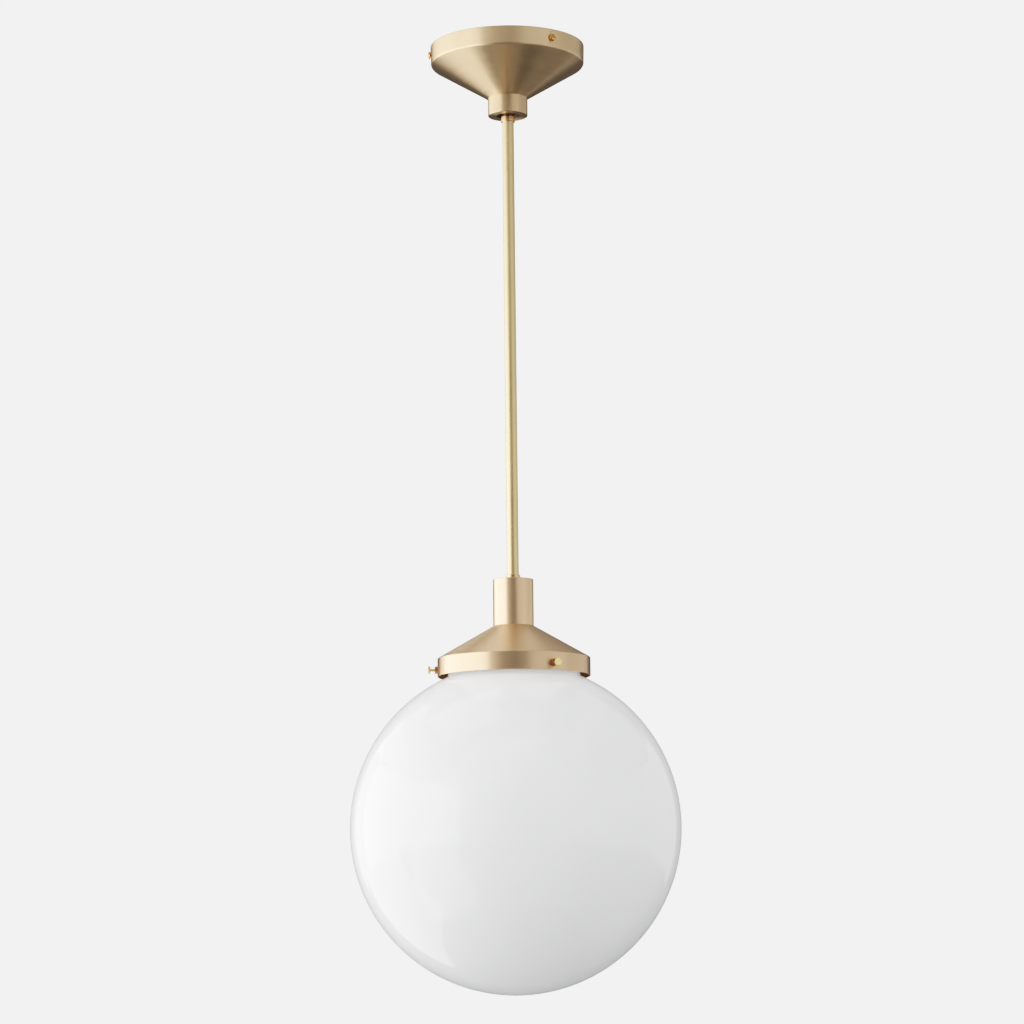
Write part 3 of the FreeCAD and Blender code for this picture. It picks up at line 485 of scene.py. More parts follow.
# %% [markdown]
# The globe is blown opal glass: a sphere, a short neck and a bead lip that the thumb screws catch.
# A sphere primitive would need its top cut open, so the outline is drawn instead: a long spun arc for
# the sphere, the neck, the lip, and the same again inside. Both ends lie on the axis and close there.

# %% Globe
globe_low, globe_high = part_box("globe")
globe_radius = globe_high.x
GLASS_WALL = 3.5 * MM
GLOBE_NECK = 71.4 * MM
LIP_HEIGHT = 6 * MM
NECK_REACH = 2.2 * MM
LIP_EDGE = 0.8 * MM
LIP_STEPS = 12
ARC_STEPS = 110
globe_centre = globe_low.z + globe_radius
lip_foot = globe_high.z - LIP_HEIGHT
neck_bore = GLOBE_NECK - GLASS_WALL
inner_globe = globe_radius - GLASS_WALL
outer_sweep = math.pi / 2 + math.acos(GLOBE_NECK / globe_radius)
inner_sweep = math.pi / 2 + math.acos(neck_bore / inner_globe)

globe_outline = start_outline("globe_glass", 0.0, globe_low.z)
arc_to(globe_outline, 0.0, globe_centre, outer_sweep, ARC_STEPS)
neck_corner = globe_outline[-1]
line_to(globe_outline, (GLOBE_NECK, lip_foot))
arc_to(globe_outline, GLOBE_NECK, lip_foot + LIP_HEIGHT / 2, math.pi, LIP_STEPS)
line_to(globe_outline, (neck_bore, globe_high.z))
line_to(globe_outline, (neck_bore, globe_centre + math.sqrt(inner_globe ** 2 - neck_bore ** 2)))
arc_to(globe_outline, 0.0, globe_centre, -inner_sweep, ARC_STEPS)
round_points(NECK_REACH, 6, neck_corner)
round_points(LIP_EDGE, 4, (neck_bore, globe_high.z))
globe = turn_outline(steps=SHELL_STEPS)
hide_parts("globe")
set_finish(globe, "opal_glass")
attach(globe, "pendant")
print("globe is", round(globe.dimensions.x / MM, 1), "mm wide")

# %% [markdown]
# A screw thread is one ridge that winds round a bar. A bar whose round section sits slightly off the
# axis gives exactly that when it is twisted: the off-centre side winds along it like a rope. So the
# shank is a cylinder, cut into many short lengths and twisted once for each turn of the thread.

# %% Threaded shank
THREAD_PITCH = 0.8 * MM
THREAD_DEPTH = 0.22 * MM
SHANK_SIDES = 20
LENGTHS_A_TURN = 16


def threaded_shank(name, radius, length):
    """A threaded bar along +Z that starts at the origin."""
    select_nothing()
    bpy.ops.mesh.primitive_cylinder_add(
        vertices=SHANK_SIDES, radius=radius - THREAD_DEPTH / 2, depth=length,
        location=(0, 0, length / 2))
    bar = bpy.context.object
    bar.name = name
    bpy.ops.object.transform_apply(location=True)
    bpy.ops.object.mode_set(mode="EDIT")
    bpy.ops.mesh.select_all(action="SELECT")
    bpy.ops.transform.translate(value=(THREAD_DEPTH / 2, 0, 0))
    turns = length / THREAD_PITCH
    cuts = math.ceil(math.sqrt(turns * LENGTHS_A_TURN)) - 1
    for _ in range(2):
        shape = bmesh.from_edit_mesh(bar.data)
        bpy.ops.mesh.select_all(action="DESELECT")
        bpy.ops.mesh.select_mode(type="EDGE")
        for edge in shape.edges:
            along = edge.verts[1].co - edge.verts[0].co
            edge.select = abs(along.z) > SAME_PLACE
        bpy.ops.mesh.subdivide(number_cuts=cuts)
    bpy.ops.object.mode_set(mode="OBJECT")
    twist = bar.modifiers.new("thread", "SIMPLE_DEFORM")
    twist.deform_method = "TWIST"
    twist.deform_axis = "Z"
    twist.angle = 2 * math.pi * turns
    apply_modifier(bar, twist)
    return bar


def join_solids(first, second):
    """Welds two overlapping solids into one skin with a boolean union."""
    weld = first.modifiers.new("weld", "BOOLEAN")
    weld.operation = "UNION"
    weld.object = second
    apply_modifier(first, weld)
    bpy.data.objects.remove(second)
    return first


def lay_out(piece, distance, bearing, height, own_turn=0.0):
    """Lays a piece that was made along +Z on its side, pointing outwards."""
    select_nothing()
    piece.select_set(True)
    bpy.context.view_layer.objects.active = piece
    piece.rotation_euler = (0, 0, own_turn)
    bpy.ops.object.transform_apply(location=False, rotation=True, scale=False)
    piece.rotation_euler = (0, math.pi / 2, bearing)
    piece.location = (distance * math.cos(bearing), distance * math.sin(bearing), height)
    bpy.ops.object.transform_apply(location=True, rotation=True, scale=True)


def copy_of(piece, name):
    twin = piece.copy()
    twin.data = piece.data.copy()
    twin.name = name
    twin.data.name = name
    bpy.context.scene.collection.objects.link(twin)
    return twin


# %% [markdown]
# The canopy's side screws have slotted dome heads. The dome is a turned outline with one large round
# corner. The slot is sawn with a thin block, and each screw is turned a different way before it is
# placed, because nobody lines slots up when they tighten them.

# %% Canopy side screws
HEAD_RADIUS = 3.9 * MM
HEAD_RIM = 1.1 * MM
HEAD_DOME = 1.7 * MM
SLOT_WIDTH = 1.0 * MM
SLOT_DEPTH = 1.2 * MM
SCREW_RADIUS = 2.05 * MM
SCREW_INTO_HEAD = 0.8 * MM
HEAD_EDGE = 0.3 * MM
HEAD_FOOT_EDGE = 0.2 * MM
DOME_STEPS = 10
SLOT_TURNS = (20, 75, 130)

from_axis = [
    math.hypot(v.co.x, v.co.y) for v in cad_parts["canopy_screw_1"].data.vertices]
screw_tip, screw_end = min(from_axis), max(from_axis)
head_height = HEAD_RIM + HEAD_DOME
shank_length = screw_end - screw_tip - head_height + SCREW_INTO_HEAD
head_seat = shank_length - SCREW_INTO_HEAD
dome_radius = (HEAD_RADIUS ** 2 + HEAD_DOME ** 2) / (2 * HEAD_DOME)
dome_top = head_seat + head_height
dome_sweep = math.asin(HEAD_RADIUS / dome_radius)

head_outline = start_outline("screw_head", 0.0, head_seat)
line_to(head_outline, (HEAD_RADIUS, head_seat), (HEAD_RADIUS, head_seat + HEAD_RIM))
arc_to(head_outline, 0.0, dome_top - dome_radius, dome_sweep, DOME_STEPS)
round_points(HEAD_EDGE, 3, (HEAD_RADIUS, head_seat + HEAD_RIM))
round_points(HEAD_FOOT_EDGE, 2, (HEAD_RADIUS, head_seat))
side_screw = turn_outline(steps=48, smooth=False)

select_nothing()
bpy.ops.mesh.primitive_cube_add(
    size=1, location=(0, 0, dome_top), scale=(3 * HEAD_RADIUS, SLOT_WIDTH, 2 * SLOT_DEPTH))
saw = bpy.context.object
slot_cut = side_screw.modifiers.new("slot", "BOOLEAN")
slot_cut.operation = "DIFFERENCE"
slot_cut.object = saw
apply_modifier(side_screw, slot_cut)
bpy.data.objects.remove(saw)
side_screw = join_solids(side_screw, threaded_shank("screw_shank", SCREW_RADIUS, shank_length))

side_screws = []
for screw, slot_turn in zip(canopy_screws, SLOT_TURNS):
    twin = copy_of(side_screw, screw.replace("canopy_screw", "side_screw"))
    lay_out(twin, screw_tip, bearing_of(screw), screw_height, math.radians(slot_turn))
    smooth_piece(twin)
    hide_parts(screw)
    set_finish(twin, "screw_brass")
    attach(twin, screw)
    side_screws.append(twin)
bpy.data.objects.remove(side_screw)
print("side screws:", [piece.name for piece in side_screws])

# %% [markdown]
# The bosses are small tapped rings riveted through the holder's band. Outside they are plain, with a
# broken edge; inside the band the tail is hammered over, so it ends a little wider than its hole.

# %% Thumb screw bosses
BOSS_RADIUS = 4 * MM
BOSS_BORE = 1.75 * MM
BOSS_TAIL = 2.75 * MM
BOSS_FLARE = 3.5 * MM
BOSS_HEIGHT = 3 * MM
FLARE_HEIGHT = 0.7 * MM
BAND_SINK = 0.1 * MM
BOSS_EDGE = 0.35 * MM
BOSS_BREAK = 0.3 * MM
tail_end = -SHEET - FLARE_HEIGHT

boss_outline = start_outline("boss", BOSS_BORE, BOSS_HEIGHT)
line_to(
    boss_outline, (BOSS_RADIUS, BOSS_HEIGHT), (BOSS_RADIUS, -BAND_SINK), (BOSS_TAIL, -BAND_SINK),
    (BOSS_TAIL, -SHEET), (BOSS_FLARE, -SHEET), (BOSS_FLARE, tail_end), (BOSS_BORE, tail_end))
close_outline(boss_outline)
round_points(BOSS_EDGE, 4, (BOSS_RADIUS, BOSS_HEIGHT))
round_points(BOSS_BREAK, 3, (BOSS_BORE, BOSS_HEIGHT), (BOSS_FLARE, tail_end))
boss = turn_outline(steps=40)

for screw in thumb_screws:
    twin = copy_of(boss, screw.replace("thumb_screw", "boss"))
    lay_out(twin, holder_radius, bearing_of(screw), thumb_height)
    smooth_piece(twin)
    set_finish(twin, "boss_brass")
    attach(twin, "pendant")
bpy.data.objects.remove(boss)
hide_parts("thumb_screw_bosses")

# %% [markdown]
# A thumb screw is turned by its rim, so the rim is fluted: a cylinder with many sides has every
# second edge pushed in. Its face is recessed a little and its edges are broken. The shank is the
# same twisted bar as before, with a short plain point.

# %% Thumb screws
FLUTES = 36
FLUTE_DEPTH = 0.16 * MM
THUMB_HEAD = 4.4 * MM
THUMB_THICK = 2.1 * MM
THUMB_RADIUS = 1.6 * MM
POINT_LENGTH = 1.2 * MM
POINT_TAPER = 0.55
FACE_INSET = 0.7 * MM
FACE_RECESS = 0.15 * MM
FLUTE_BREAK = 0.22 * MM
LIES_FLAT = 0.99

thumb_tip = abs(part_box("thumb_screw_1")[1].x)
thumb_end = abs(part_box("thumb_screw_1")[0].x)
thumb_length = thumb_end - thumb_tip
head_foot = thumb_length - THUMB_THICK

select_nothing()
bpy.ops.mesh.primitive_cylinder_add(
    vertices=2 * FLUTES, radius=THUMB_HEAD, depth=THUMB_THICK,
    location=(0, 0, head_foot + THUMB_THICK / 2))
thumb_head = bpy.context.object
bpy.ops.object.transform_apply(location=True)
bpy.ops.object.mode_set(mode="EDIT")
flute_step = math.pi / FLUTES
pick_vertices(lambda p: round(math.atan2(p.x, p.y) / flute_step) % 2 == 1)
inward = 1 - FLUTE_DEPTH / THUMB_HEAD
bpy.ops.transform.resize(value=(inward, inward, 1), center_override=(0, 0, 0))
pick_faces(lambda middle, normal: abs(normal.z) > LIES_FLAT)
bpy.ops.mesh.bevel(offset=FLUTE_BREAK, segments=2, affect="EDGES")
pick_faces(lambda middle, normal: normal.z > LIES_FLAT)
bpy.ops.mesh.inset(thickness=FACE_INSET)
bpy.ops.mesh.inset(thickness=FACE_RECESS, depth=-FACE_RECESS)
tidy_shape()
bpy.ops.object.mode_set(mode="OBJECT")

thumb_shank = threaded_shank("thumb_shank", THUMB_RADIUS, thumb_length - THUMB_THICK / 2)
bpy.context.view_layer.objects.active = thumb_shank
bpy.ops.object.mode_set(mode="EDIT")
pick_vertices(lambda p: p.z < POINT_LENGTH / 2)
bpy.ops.transform.resize(value=(POINT_TAPER, POINT_TAPER, 1), center_override=(0, 0, 0))
bpy.ops.object.mode_set(mode="OBJECT")
thumb = join_solids(thumb_head, thumb_shank)

for screw in thumb_screws:
    twin = copy_of(thumb, screw.replace("thumb_screw", "thumb"))
    lay_out(twin, thumb_tip, bearing_of(screw), thumb_height)
    smooth_piece(twin)
    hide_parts(screw)
    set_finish(twin, "thumb_brass")
    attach(twin, screw)
bpy.data.objects.remove(thumb)
print("thumb screw length:", round(thumb_length / MM, 2), "mm")

# %% [markdown]
# ## Finishes
# Brushed brass is not one colour: each fine line left by the abrasive tips the surface a little, so
# the sheen breaks into threads. On a turned part the lines run round the axis. The pattern below is a
# noise that changes fast along the height and the radius and slowly round the axis. It is a node
# group, because several brass finishes share it with other values.

# %% Group: lines of a lathe finish
def new_group(name, inputs, outputs):
    """An empty shader group with these float, colour or vector sockets."""
    tree = bpy.data.node_groups.new(name, "ShaderNodeTree")
    for socket, kind in inputs:
        tree.interface.new_socket(socket, in_out="INPUT", socket_type="NodeSocket" + kind)
    for socket, kind in outputs:
        tree.interface.new_socket(socket, in_out="OUTPUT", socket_type="NodeSocket" + kind)
    start = tree.nodes.new("NodeGroupInput")
    end = tree.nodes.new("NodeGroupOutput")
    return tree, start, end


def math_node(tree, operation, first, second):
    """A Math node; a socket is linked, and a number is set."""
    node = tree.nodes.new("ShaderNodeMath")
    node.operation = operation
    for socket, value in zip(node.inputs, (first, second)):
        if isinstance(value, (int, float)):
            socket.default_value = value
        else:
            tree.links.new(value, socket)
    return node.outputs[0]


def noise_node(tree, dimensions, vector, scale, detail, roughness=0.5):
    node = tree.nodes.new("ShaderNodeTexNoise")
    node.noise_dimensions = dimensions
    tree.links.new(vector, node.inputs["Vector"])
    node.inputs["Scale"].default_value = scale
    node.inputs["Detail"].default_value = detail
    node.inputs["Roughness"].default_value = roughness
    return node


lathe_group, lathe_in, lathe_out = new_group(
    "lathe_lines",
    [("Vector", "Vector"), ("Lines per metre", "Float"), ("Length of a line", "Float")],
    [("Line", "Float")])
split = lathe_group.nodes.new("ShaderNodeSeparateXYZ")
lathe_group.links.new(lathe_in.outputs["Vector"], split.inputs[0])
flat = lathe_group.nodes.new("ShaderNodeCombineXYZ")
lathe_group.links.new(split.outputs["X"], flat.inputs["X"])
lathe_group.links.new(split.outputs["Y"], flat.inputs["Y"])
reach = lathe_group.nodes.new("ShaderNodeVectorMath")
reach.operation = "LENGTH"
lathe_group.links.new(flat.outputs[0], reach.inputs[0])
around = lathe_group.nodes.new("ShaderNodeVectorMath")
around.operation = "NORMALIZE"
lathe_group.links.new(flat.outputs[0], around.inputs[0])
around_split = lathe_group.nodes.new("ShaderNodeSeparateXYZ")
lathe_group.links.new(around.outputs[0], around_split.inputs[0])
density = lathe_in.outputs["Lines per metre"]
turn_rate = lathe_in.outputs["Length of a line"]
stretched = lathe_group.nodes.new("ShaderNodeCombineXYZ")
lathe_group.links.new(
    math_node(lathe_group, "MULTIPLY", around_split.outputs["X"], turn_rate),
    stretched.inputs["X"])
lathe_group.links.new(
    math_node(lathe_group, "MULTIPLY", around_split.outputs["Y"], turn_rate),
    stretched.inputs["Y"])
lathe_group.links.new(
    math_node(lathe_group, "MULTIPLY", split.outputs["Z"], density), stretched.inputs["Z"])
threads = noise_node(lathe_group, "4D", stretched.outputs[0], 1.0, 3.0, 0.65)
lathe_group.links.new(
    math_node(lathe_group, "MULTIPLY", reach.outputs["Value"], density), threads.inputs["W"])
lathe_group.links.new(threads.outputs[0], lathe_out.inputs["Line"])
print("group:", lathe_group.name)

# %% [markdown]
# Metal also darkens and warms slightly where hands and lacquer have been, in patches of a few
# centimetres. This second group blends two shades with a soft noise, and is used by every finish.

# %% Group: slow change of shade
shade_group, shade_in, shade_out = new_group(
    "slow_shade",
    [("Vector", "Vector"), ("Patches per metre", "Float"), ("Dark", "Color"), ("Light", "Color")],
    [("Shade", "Color"), ("Patch", "Float")])
patch = noise_node(shade_group, "3D", shade_in.outputs["Vector"], 1.0, 3.0)
shade_group.links.new(shade_in.outputs["Patches per metre"], patch.inputs["Scale"])
blend = shade_group.nodes.new("ShaderNodeMix")
blend.data_type = "RGBA"
shade_group.links.new(patch.outputs[0], blend.inputs["Factor"])
shade_group.links.new(shade_in.outputs["Dark"], blend.inputs["A"])
shade_group.links.new(shade_in.outputs["Light"], blend.inputs["B"])
shade_group.links.new(blend.outputs["Result"], shade_out.inputs["Shade"])
shade_group.links.new(patch.outputs[0], shade_out.inputs["Patch"])
print("group:", shade_group.name)

# %% [markdown]
# Each material starts from the same few steps: Object coordinates, which don't slide when the light
# swings, the shader itself, and a bump from a height. What is the same all over a piece is set on the
# shader's own sockets.

# %% Helpers for materials
NOISE_LOW = 0.3
NOISE_HIGH = 0.7


def new_material(name, roughness, metallic=0.0, **constants):
    material = bpy.data.materials.new(name)
    material.use_nodes = True
    tree = material.node_tree
    shader = tree.nodes["Principled BSDF"]
    shader.inputs["Roughness"].default_value = roughness
    shader.inputs["Metallic"].default_value = metallic
    for socket, value in constants.items():
        shader.inputs[socket.replace("_", " ")].default_value = value
    coordinates = tree.nodes.new("ShaderNodeTexCoord").outputs["Object"]
    return material, tree, shader, coordinates


def place_group(tree, group, vector, **values):
    """Puts a group in a material; keyword names are its inputs with _ for a space."""
    node = tree.nodes.new("ShaderNodeGroup")
    node.node_tree = group
    tree.links.new(vector, node.inputs["Vector"])
    for socket, value in values.items():
        node.inputs[socket.replace("_", " ")].default_value = value
    return node


def set_range(tree, value, low, high):
    """Spreads a noise, which lies about the middle of 0 to 1, over a range."""
    node = tree.nodes.new("ShaderNodeMapRange")
    node.inputs["From Min"].default_value = NOISE_LOW
    node.inputs["From Max"].default_value = NOISE_HIGH
    node.inputs["To Min"].default_value = low
    node.inputs["To Max"].default_value = high
    tree.links.new(value, node.inputs["Value"])
    return node.outputs["Result"]


def add_bump(tree, shader, height, depth, strength):
    """Raises the surface by a height of 0 to 1 times depth, in metres."""
    bump = tree.nodes.new("ShaderNodeBump")
    bump.inputs["Strength"].default_value = strength
    bump.inputs["Distance"].default_value = depth
    tree.links.new(height, bump.inputs["Height"])
    tree.links.new(bump.outputs["Normal"], shader.inputs["Normal"])


def tint(tree, colour, value, low, high):
    """Darkens and lightens a colour by a factor that follows a noise."""
    scale = tree.nodes.new("ShaderNodeVectorMath")
    scale.operation = "SCALE"
    tree.links.new(colour, scale.inputs[0])
    tree.links.new(set_range(tree, value, low, high), scale.inputs["Scale"])
    return scale.outputs["Vector"]


# %% [markdown]
# Satin brass: the lines give roughness and a very shallow bump, and the shader's own anisotropy
# spreads each reflection across them, which draws the upright streaks of light on a brushed cylinder.
# The stem is drawn through a die, so its lines are faint and run along it, and its sheen is rounder.

# %% Brass finishes
LINE_DEPTH = 0.008 * MM
ACROSS_THE_LINES = 0.25


def brushed_brass(
        name, dark, light, roughness, lines=1500, turn_rate=1.2, contrast=0.035, stretch=0.85):
    material, tree, shader, coordinates = new_material(
        name, roughness, 1.0, Anisotropic=stretch, Anisotropic_Rotation=ACROSS_THE_LINES)
    line = place_group(
        tree, lathe_group, coordinates, Lines_per_metre=lines, Length_of_a_line=turn_rate)
    shade = place_group(
        tree, shade_group, coordinates, Patches_per_metre=18.0, Dark=dark + (1,),
        Light=light + (1,))
    colour = tint(tree, shade.outputs["Shade"], line.outputs["Line"], 1 - contrast, 1 + contrast)
    tree.links.new(colour, shader.inputs["Base Color"])
    rough = set_range(tree, line.outputs["Line"], roughness * 0.85, roughness * 1.15)
    tree.links.new(rough, shader.inputs["Roughness"])
    add_bump(tree, shader, line.outputs["Line"], LINE_DEPTH, 0.4)
    return material


holder_brass = brushed_brass("holder_brass", (0.78, 0.58, 0.385), (0.86, 0.64, 0.43), 0.40)
# The cup's brass is a lighter copy of the holder's, a painted light on the cup.
cup_brass_painted_light = brushed_brass("cup_brass_painted_light", (0.87, 0.65, 0.435), (0.94, 0.705, 0.475), 0.40)
canopy_brass = brushed_brass("canopy_brass", (0.77, 0.583, 0.38), (0.85, 0.648, 0.42), 0.40)
# The collar's brass is a darker copy of the canopy's, a painted shade on the collar.
collar_brass_painted_shade = brushed_brass("collar_brass_painted_shade", (0.72, 0.548, 0.36), (0.79, 0.602, 0.395), 0.40)
stem_brass = brushed_brass(
    "drawn_brass", (0.76, 0.605, 0.36), (0.82, 0.66, 0.395), 0.42, lines=12, turn_rate=7.0,
    contrast=0.015, stretch=0.3)
sleeve_brass = brushed_brass(
    "sleeve_brass", (0.74, 0.50, 0.30), (0.82, 0.57, 0.36), 0.26, lines=1400, contrast=0.04)

# %% [markdown]
# Small parts such as screws are not brushed round the light's axis. They come from a tumbler, with
# tiny scratches in all directions, so their roughness follows a plain fine noise.

# %% Small brass parts and plated steel
TUMBLE_DEPTH = 0.01 * MM


def tumbled_metal(name, dark, light, roughness, grain=2500.0):
    material, tree, shader, coordinates = new_material(name, roughness, 1.0)
    shade = place_group(
        tree, shade_group, coordinates, Patches_per_metre=160.0, Dark=dark + (1,),
        Light=light + (1,))
    tree.links.new(shade.outputs["Shade"], shader.inputs["Base Color"])
    specks = noise_node(tree, "3D", coordinates, grain, 3.0)
    rough = set_range(tree, specks.outputs[0], roughness * 0.75, roughness * 1.3)
    tree.links.new(rough, shader.inputs["Roughness"])
    add_bump(tree, shader, specks.outputs[0], TUMBLE_DEPTH, 0.4)
    return material


screw_brass = tumbled_metal("screw_brass", (0.66, 0.36, 0.12), (0.82, 0.50, 0.20), 0.28)
thumb_brass = tumbled_metal("thumb_brass", (0.80, 0.62, 0.26), (0.90, 0.76, 0.40), 0.25)
boss_brass = tumbled_metal("boss_brass", (0.40, 0.21, 0.14), (0.50, 0.285, 0.195), 0.35)
raw_brass = tumbled_metal("raw_brass", (0.62, 0.44, 0.22), (0.75, 0.55, 0.29), 0.38, grain=900.0)
zinc_steel = tumbled_metal("zinc_steel", (0.50, 0.51, 0.52), (0.68, 0.69, 0.70), 0.36, grain=700.0)
nickel = tumbled_metal("nickel", (0.62, 0.60, 0.56), (0.76, 0.74, 0.70), 0.2)
green_screw = tumbled_metal("green_screw", (0.03, 0.20, 0.07), (0.06, 0.32, 0.12), 0.4)

# %% [markdown]
# Opal glass is clear glass full of fine white particles: a soft white body under a glossy skin. The
# body scatters light a few millimetres deep, which the shader's subsurface does, and the skin is the
# shader's own reflection. Blown glass is never quite even, so a very broad, very shallow bump lets
# reflections bend a little, and the white drifts between a cooler and a warmer shade. Light that has
# wandered right round the globe inside the glass is stood for by a faint glow.

# %% Opal glass
SCATTER_DEPTH = 12 * MM
WANDERING_LIGHT = 0.216
SWIRL_HEIGHT = 0.4 * MM


def opal(name, dark, light, roughness):
    material, tree, shader, coordinates = new_material(name, roughness, IOR=1.5)
    shader.inputs["Subsurface Weight"].default_value = 1.0
    shader.inputs["Subsurface Radius"].default_value = (1.0, 1.0, 1.0)
    shader.inputs["Subsurface Scale"].default_value = SCATTER_DEPTH
    shader.inputs["Emission Color"].default_value = (0.99, 0.995, 1.0, 1)
    shader.inputs["Emission Strength"].default_value = WANDERING_LIGHT
    shade = place_group(
        tree, shade_group, coordinates, Patches_per_metre=5.0, Dark=dark + (1,),
        Light=light + (1,))
    tree.links.new(shade.outputs["Shade"], shader.inputs["Base Color"])
    swirl = noise_node(tree, "3D", coordinates, 9.0, 1.0)
    rough = set_range(tree, shade.outputs["Patch"], roughness * 0.9, roughness * 1.2)
    tree.links.new(rough, shader.inputs["Roughness"])
    add_bump(tree, shader, swirl.outputs[0], SWIRL_HEIGHT, 0.35)
    return material


opal_glass = opal("opal_white_glass", (0.93, 0.935, 0.945), (0.96, 0.962, 0.965), 0.09)

# %% [markdown]
# Inside are porcelain, plastic, wire and the bulb. They hardly show, but each still has the grain
# and shade of its own stuff, because the light can be seen from above or with the bulb out.

# %% Materials of the inner parts
PLAIN_GRAIN = 0.02 * MM


def plain_stuff(name, dark, light, roughness, patches=60.0, grain=1500.0, **constants):
    material, tree, shader, coordinates = new_material(name, roughness, **constants)
    shade = place_group(
        tree, shade_group, coordinates, Patches_per_metre=patches, Dark=dark + (1,),
        Light=light + (1,))
    tree.links.new(shade.outputs["Shade"], shader.inputs["Base Color"])
    specks = noise_node(tree, "3D", coordinates, grain, 2.0)
    rough = set_range(tree, specks.outputs[0], roughness * 0.85, roughness * 1.2)
    tree.links.new(rough, shader.inputs["Roughness"])
    add_bump(tree, shader, specks.outputs[0], PLAIN_GRAIN, 0.3)
    return material


porcelain = plain_stuff("porcelain", (0.80, 0.78, 0.73), (0.88, 0.87, 0.83), 0.15, grain=120.0)
black_glass = plain_stuff("black_glass", (0.01, 0.01, 0.02), (0.03, 0.03, 0.05), 0.1)
lead_black = plain_stuff("lead_black", (0.015, 0.015, 0.015), (0.03, 0.03, 0.03), 0.45)
lead_white = plain_stuff("lead_white", (0.75, 0.74, 0.70), (0.84, 0.83, 0.80), 0.45)
lead_green = plain_stuff("lead_green", (0.03, 0.22, 0.07), (0.06, 0.30, 0.10), 0.45)
connector = plain_stuff("connector_plastic", (0.62, 0.26, 0.03), (0.72, 0.34, 0.05), 0.4)
frosted = plain_stuff("frosted_bulb", (0.86, 0.86, 0.85), (0.92, 0.92, 0.91), 0.35)
clear_glass = plain_stuff(
    "clear_glass", (0.9, 0.92, 0.92), (0.97, 0.98, 0.98), 0.04, Transmission_Weight=0.9)

# %% [markdown]
# Every node of the frame that still shows gets one of these finishes by the name of its own slot,
# and every new piece gets its finish by name.

# %% Give every piece its finish
FINISHES = {
    "brass_satin": holder_brass, "stem_brass": stem_brass, "sleeve_brass": sleeve_brass,
    "screw_brass": screw_brass, "thumb_brass": thumb_brass, "boss_brass": boss_brass,
    "raw_brass": raw_brass, "plated_steel": zinc_steel, "green_screw": green_screw,
    "nickel": nickel, "opal_glass": opal_glass, "bulb_frosted": frosted,
    "clear_glass": clear_glass, "black_glass": black_glass, "porcelain": porcelain,
    "lead_black": lead_black, "lead_white": lead_white, "lead_green": lead_green,
    "connector_plastic": connector}

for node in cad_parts.values():
    for slot in node.material_slots:
        slot.material = FINISHES[slot.material.name.split(".")[0]]
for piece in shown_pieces():
    if "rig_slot" in piece:
        piece.data.materials.clear()
        piece.data.materials.append(FINISHES[piece["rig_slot"]])
for piece, finish in ((canopy, canopy_brass), (collar, collar_brass_painted_shade), (cup, cup_brass_painted_light)):
    piece.data.materials[0] = finish

# %% [markdown]
# The polishing wheel never gets inside the spun shells, so their inner faces are left unpolished.
# Their dark brown is painted shade over that dull brass, since the inside of a shell lies in shadow.
# A face of a shell is an inner one when it looks towards the axis or up into the shell, and such
# faces take the shell's second material.
# The swivel's ball and seat and the edge of the collar's hole are dull and painted dark as well: a
# painted shade, so that the hole round the neck reads as a shadow.

# %% Unpolished brass and painted shade inside the shells and the collar's hole
LOOKS_IN = 0.5
LOOKS_UP = 0.2
# A dark brown for the shells' inner faces: unpolished brass under a painted shade.
unpolished_brass_painted_shade = tumbled_metal(
    "unpolished_brass_painted_shade", (0.20, 0.115, 0.06), (0.32, 0.19, 0.10), 0.45, grain=600.0)


def paint_shade_inside(piece, finish, is_inside):
    """Gives the faces that pass the test the piece's second material, a painted shade."""
    piece.data.materials.append(finish)
    inner = [face for face in piece.data.polygons if is_inside(face.center, face.normal)]
    for face in inner:
        face.material_index = 1
    print(piece.name, len(inner), "inner faces")


def outwardness(place, normal):
    """Positive on a face that looks away from the axis."""
    return (place.x * normal.x + place.y * normal.y) / max(math.hypot(place.x, place.y), MM)


# A dark, dull brass for the swivel and the collar's hole: painted shade in the hole round the neck.
swivel_painted_shade = tumbled_metal(
    "swivel_painted_shade", (0.34, 0.26, 0.19), (0.42, 0.33, 0.25), 0.5, grain=600.0)
for node in ("swivel_ball", "swivel_seat_ring"):
    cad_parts[node].material_slots[0].material = swivel_painted_shade
paint_shade_inside(
    collar, swivel_painted_shade,
    lambda place, normal: math.hypot(place.x, place.y) < NECK_HOLE + HOLE_FLARE)
paint_shade_inside(
    canopy, unpolished_brass_painted_shade,
    lambda place, normal: normal.z > LOOKS_UP or outwardness(place, normal) < -LOOKS_IN)
paint_shade_inside(
    holder, unpolished_brass_painted_shade,
    lambda place, normal: outwardness(place, normal) < -LOOKS_IN or
    (normal.z < -LOOKS_UP and place.z > holder_low.z + SHEET))

# %% [markdown]
# In a studio, brass is lit with big white panels, because a round metal part shows its whole
# surroundings as upright stripes. Here a ring of soft panels stands round the light, all at the same
# distance: bright ones on the left, where the stripe starts sharply and then fades, a dark gap near
# the camera, and quiet ones on the right. Low panels lift the undersides and high ones the cones.
# Each panel is told by its bearing from the camera's side, its spread and its height in degrees, and
# its glow in watts per square metre.

